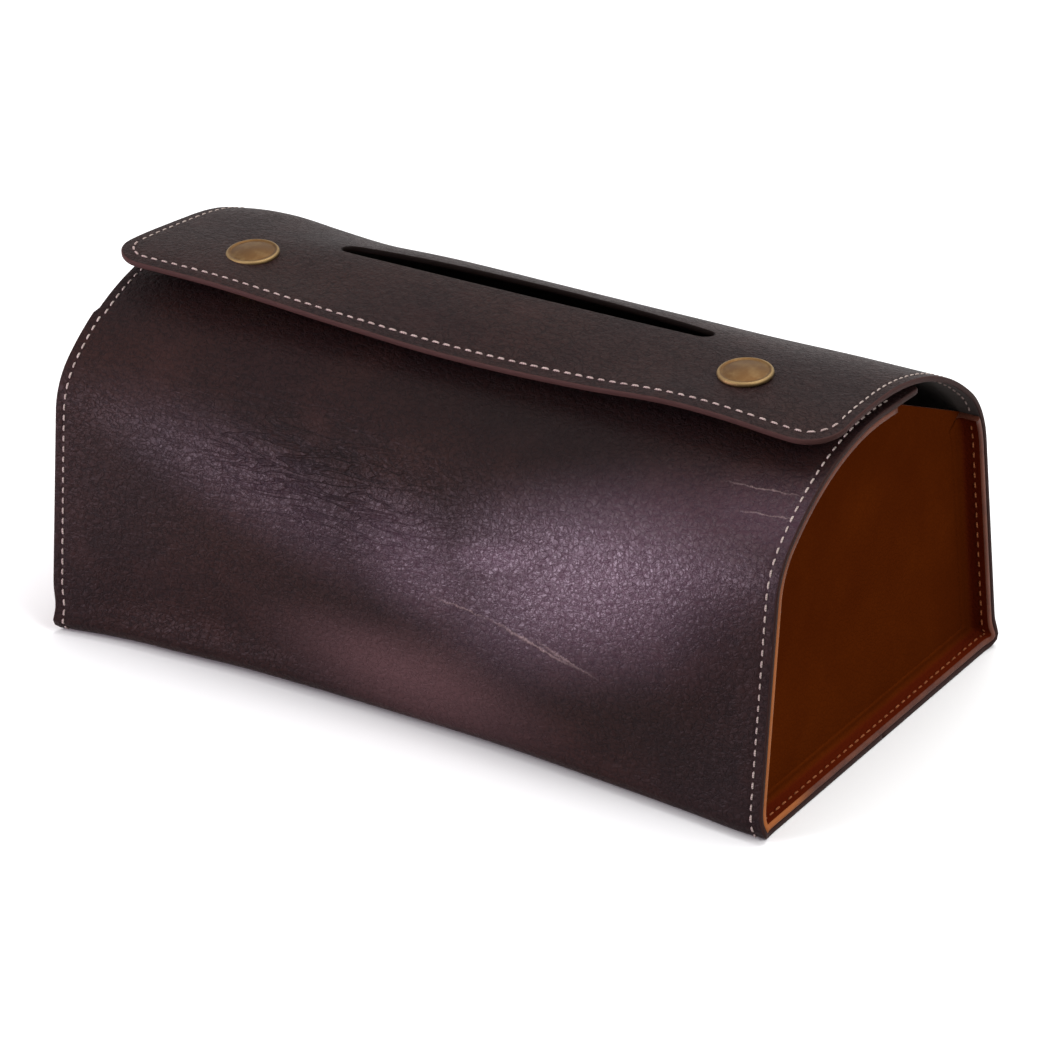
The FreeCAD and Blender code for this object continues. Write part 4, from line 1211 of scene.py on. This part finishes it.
SEAM_START = length_on_margin(SEWN_FROM)
ROUND_FROM = FLAP_FRONT - SEAM_CORNER - 1       # where the row turns round the flap's corner
turn = np.linspace(0, math.pi / 2, 9)
right_corner = (SEAM, FLAP_FRONT) - SEAM_CORNER * (1 - np.stack([np.cos(turn), np.sin(turn)], 1))
flap_route = np.concatenate([right_corner, right_corner[::-1] * (-1, 1)])
front_routes = both_sides(SEAM, SEAM_START, BASE_MIDDLE - 2)
back_routes = both_sides(SEAM, BASE_MIDDLE + 2, ROUND_FROM)
tray_routes = both_sides(SEAM + 0.4, SEAM_START + 3, FOLD_TOP - 2)
lining_routes = [flap_route] + both_sides(SEAM, FOLD_TOP + 1, ROUND_FROM)

# Each call ends with the pitch, the stitch's length and the thread's radius, in mm.
case_thread = sew("case_thread", front_routes, 0, 3, SEAM_THREAD, 3.1, 2.0, 0.29)
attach(case_thread, "case")
back_thread = sew("back_thread", back_routes, 0, 9, SEAM_THREAD, 3.1, 2.0, 0.25)
bend_at_fold(back_thread)
flap_thread = sew("flap_thread", [flap_route], 0, 5, CREAM_THREAD, 3.5, 2.35, 0.31)
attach(flap_thread, "flap")
lining_thread = sew("lining_thread", lining_routes, LEATHER, 11, CREAM_THREAD, 3.5, 2.2, 0.26)
bend_at_fold(lining_thread)
tray_thread = sew("tray_thread", tray_routes, LEATHER + PANEL, 7, RUBBED_THREAD, 3.3, 2.1, 0.27)
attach(tray_thread, "case")

# %% [markdown]
# ## Snap caps
#
# A cap is a thin disc of antique-finished brass: a low dome inside a rolled rim. The
# finish is darkened all over and then rubbed, so the high rim and patches here and
# there show brighter metal and the groove between the rim and the dome stays dark.


# %% Turn the caps
def antique_brass():
    """Darkened brass: rubbed bright on the raised rim and in patches, with painted shade on the rim's outer
    wall.
    """
    brass = Finish("antique_brass", Metallic=1.0)
    where = brass.place()
    radius = brass.number("radius")
    tarnish = brass.noise(where, 260, 4.0, 0.65)
    scratch = brass.noise(brass.stretched(where, (1500, 260, 260), 32), 1.0, 2.0)
    rubbed = (radius.between(6.6, 7.2) * 0.6 + tarnish.between(0.4, 0.8) * 0.3).clamped()
    colour = brass.mixed(rubbed, tone(86, 61, 35), tone(142, 120, 84))
    # painted shade: the rim's outer wall darker
    colour = brass.mixed(radius.between(7.35, 7.6) * 0.7, colour, tone(62, 46, 28))
    return brass.shade(Base_Color=colour, Roughness=0.46 + tarnish * 0.2,
                       Normal=brass.relief(tarnish * 0.6 + scratch * 0.4, 0.00006))


def plain_metal(name, haze_scale, detail, contrast, tones, roughness, depth):
    """A metal as it comes from the press or the wire die: a slight haze between its two tones."""
    metal = Finish(name, Metallic=1.0)
    haze = metal.noise(metal.place(), haze_scale, detail, 0.6)
    shade = haze.between(*contrast) if contrast else haze
    return metal.shade(Base_Color=metal.mixed(shade, *(tone(*each) for each in tones)),
                       Roughness=roughness + haze * 0.15, Normal=metal.relief(haze, depth))


ANTIQUE_BRASS = antique_brass()
PLAIN_BRASS = plain_metal(
    "plain_brass", 300, 4.0, (0.35, 0.65), ((168, 132, 72), (202, 168, 104)), 0.3, 0.00004)
SPRING_WIRE = plain_metal(
    "spring_wire", 500, 3.0, None, ((150, 148, 144), (186, 184, 180)), 0.28, 0.00003)

CAP_PROFILE = (  # radius, height above the margin
    (7.1, 4.63), (7.5, 4.75), (7.62, 5.1), (7.55, 5.5), (7.3, 5.85), (6.95, 6.0), (6.6, 5.92),
    (6.35, 5.74), (6.1, 5.72), (5.6, 5.86), (4.6, 6.1), (3.2, 6.36), (1.6, 6.55), (0.8, 6.6))
SNAP_AHEAD = CREST_Y - SNAP_Y        # of the crest
SNAP_TILT = (math.asin(SNAP_AHEAD / CROWN_RADIUS) + math.asin(SNAP_AHEAD / BROW_RADIUS)) / 2
SNAP_BASE_Z = MARGIN_HEIGHT - CROWN_RADIUS + math.sqrt(CROWN_RADIUS ** 2 - SNAP_AHEAD ** 2)


def snap_cap(name, side, count=72):
    """The profile turned about the snap's axis, with a pole on top and a closed flat underside.

    The cap rides as far up as the leather that it is set in.
    """
    profile = np.array(CAP_PROFILE)
    turn = 2 * math.pi * np.arange(count) / count
    ring = np.stack([profile[:, :1] * np.cos(turn), profile[:, :1] * np.sin(turn),
                     np.broadcast_to(profile[:, 1:], (len(profile), count))], -1).reshape(-1, 3)
    local = np.concatenate([ring, [(0, 0, profile[-1, 1] + 0.02), (0, 0, profile[0, 1])]])
    c, s = math.cos(SNAP_TILT), math.sin(SNAP_TILT)
    tilted = local @ np.array([(1, 0, 0), (0, c, s), (0, -s, c)])
    lift = soft_form(np.array([side * SNAP_X]), np.array([length_on_top(SNAP_Y)]))[3][0]
    print("%s rides %.2f mm up with the leather" % (name, lift))
    last = (len(profile) - 1) * count
    i = np.arange(count)
    top = np.stack([last + i, last + np.roll(i, -1), np.full(count, len(ring))], 1)
    under = np.stack([np.roll(i, -1), i, np.full(count, len(ring) + 1)], 1)
    faces = [(grid_faces(len(profile), count, around=True), 0), (top, 0), (under, 0)]
    cap = new_piece(name, tilted + (side * SNAP_X, SNAP_Y, SNAP_BASE_Z + lift), faces, (ANTIQUE_BRASS,),
                    values={"radius": np.hypot(*local[:, :2].T)})
    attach(cap, "flap")
    return cap


# The snaps' hidden parts keep their CAD meshes and take plain finishes.
for side, word in ((-1, "left"), (1, "right")):
    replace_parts(snap_cap(word + "_cap", side), word + "_snap_cap")
    for part in ("socket", "stud", "post", "spring"):
        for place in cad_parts["%s_snap_%s" % (word, part)].material_slots:
            place.material = SPRING_WIRE if part == "spring" else PLAIN_BRASS

# %% [markdown]
# ## The camera
#
# A long lens looks down at the box's corner from the front right, from a metre and a
# quarter away, so that the lines that run along the box hardly converge.

# %% The camera
FOCAL_PIXELS, FRAME_PIXELS = 4434.97, 1048
EYE = (0.60522, -0.93421, 0.57641)
TILT, ROLL, HEADING = (math.radians(angle) for angle in (64.0951, 0.6538, 32.5880))


def place_in_scene(name, data, matrix=None):
    """An object for a camera, a light or a mesh, linked and set down."""
    thing = bpy.data.objects.new(name, data)
    bpy.context.scene.collection.objects.link(thing)
    if matrix:
        thing.matrix_world = matrix
    return thing


camera = bpy.data.cameras.new("camera")
camera.sensor_width = 36.0
camera.lens = 36.0 * FOCAL_PIXELS / FRAME_PIXELS
camera.clip_start, camera.clip_end = 0.05, 20.0
bpy.context.scene.camera = place_in_scene("camera", camera, Matrix.LocRotScale(
    EYE, Euler((TILT, ROLL, HEADING)), None))
print("lens %.1f mm, %.2f m from the middle of the base" % (camera.lens, Vector(EYE).length))

# %% [markdown]
# ## Light and floor
#
# Wide soft light comes from above and behind, and a low panel of light in front puts
# the sheen on the leather's grain. The camera, and every ray that a shiny or a clear
# surface sends on, sees a white room that is brighter than the light it gives, so the
# background stays clean while the leather stays dark.

# %% Light, floor and room
# The rays that see the white room instead of its light.
SEEN_BY = ("Is Camera Ray", "Is Glossy Ray", "Is Transmission Ray")
LAMPS = (  # name, place, aim and size in metres, power in watts, tint
    ("overhead", (0.1, 0.35, 1.3), (0, 0, 0), (1.2, 1.0), 16, (1, 1, 1)),
    ("low_window", (-0.90, -1.12, 0.13), (0, -0.06, 0.05), (0.42, 0.20), 19, (1, 0.82, 1)),
    ("high_window", (-0.75, -1.0, 0.95), (0, -0.06, 0.07), (0.5, 0.4), 6, (1, 1, 1)),
    ("right_side", (1.3, -0.3, 0.9), (0, 0, 0.05), (0.7, 0.7), 10, (1, 1, 1)),
)
for name, place, aim, size, power, tint in LAMPS:
    light = bpy.data.lights.new(name, "AREA")
    light.shape, light.size, light.size_y, light.energy, light.color = "RECTANGLE", *size, power, tint
    turned = (Vector(place) - Vector(aim)).to_track_quat("Z", "Y").to_matrix().to_4x4()
    place_in_scene(name, light, Matrix.Translation(place) @ turned)

REACH = 1.6             # the floor's half side, in metres
floor_mesh = bpy.data.meshes.new("floor")
floor_mesh.from_pydata([(-REACH, -REACH, 0), (REACH, -REACH, 0), (REACH, REACH, 0), (-REACH, REACH, 0)],
                       [], [(0, 1, 2, 3)])
pale = Finish("pale_floor", Roughness=0.9, Specular_IOR_Level=0.1)
seen = pale.add("ShaderNodeLightPath", None, None, SEEN_BY[0])
for kind in SEEN_BY[1:]:
    seen = seen.most(pale.add("ShaderNodeLightPath", None, None, kind))
cloud = pale.noise(pale.place(), 3.0)
floor_mesh.materials.append(pale.shade(Base_Color=pale.mixed(
    seen, pale.mixed(cloud, tone(150, 148, 146), tone(156, 154, 152)),
    pale.mixed(cloud, tone(250, 250, 250), tone(254, 254, 254)))))
place_in_scene("floor", floor_mesh)

world = bpy.data.worlds.new("studio")
world.use_nodes = True
bpy.context.scene.world = world
nodes, link = world.node_tree.nodes, world.node_tree.links.new
lighting, shown = nodes["Background"], nodes.new("ShaderNodeBackground")
for background, strength in ((lighting, 0.45), (shown, 1.0)):
    background.inputs["Color"].default_value = (1, 1, 1, 1)
    background.inputs["Strength"].default_value = strength
rays, room = nodes.new("ShaderNodeLightPath"), lighting
for kind in SEEN_BY:
    pick = nodes.new("ShaderNodeMixShader")
    for number, output in enumerate((rays.outputs[kind], room.outputs[0], shown.outputs[0])):
        link(output, pick.inputs[number])
    room = pick
link(room.outputs[0], nodes["World Output"].inputs[0])
bpy.context.scene.view_settings.view_transform = "Standard"
print("lamps:", [name for name, *_ in LAMPS])
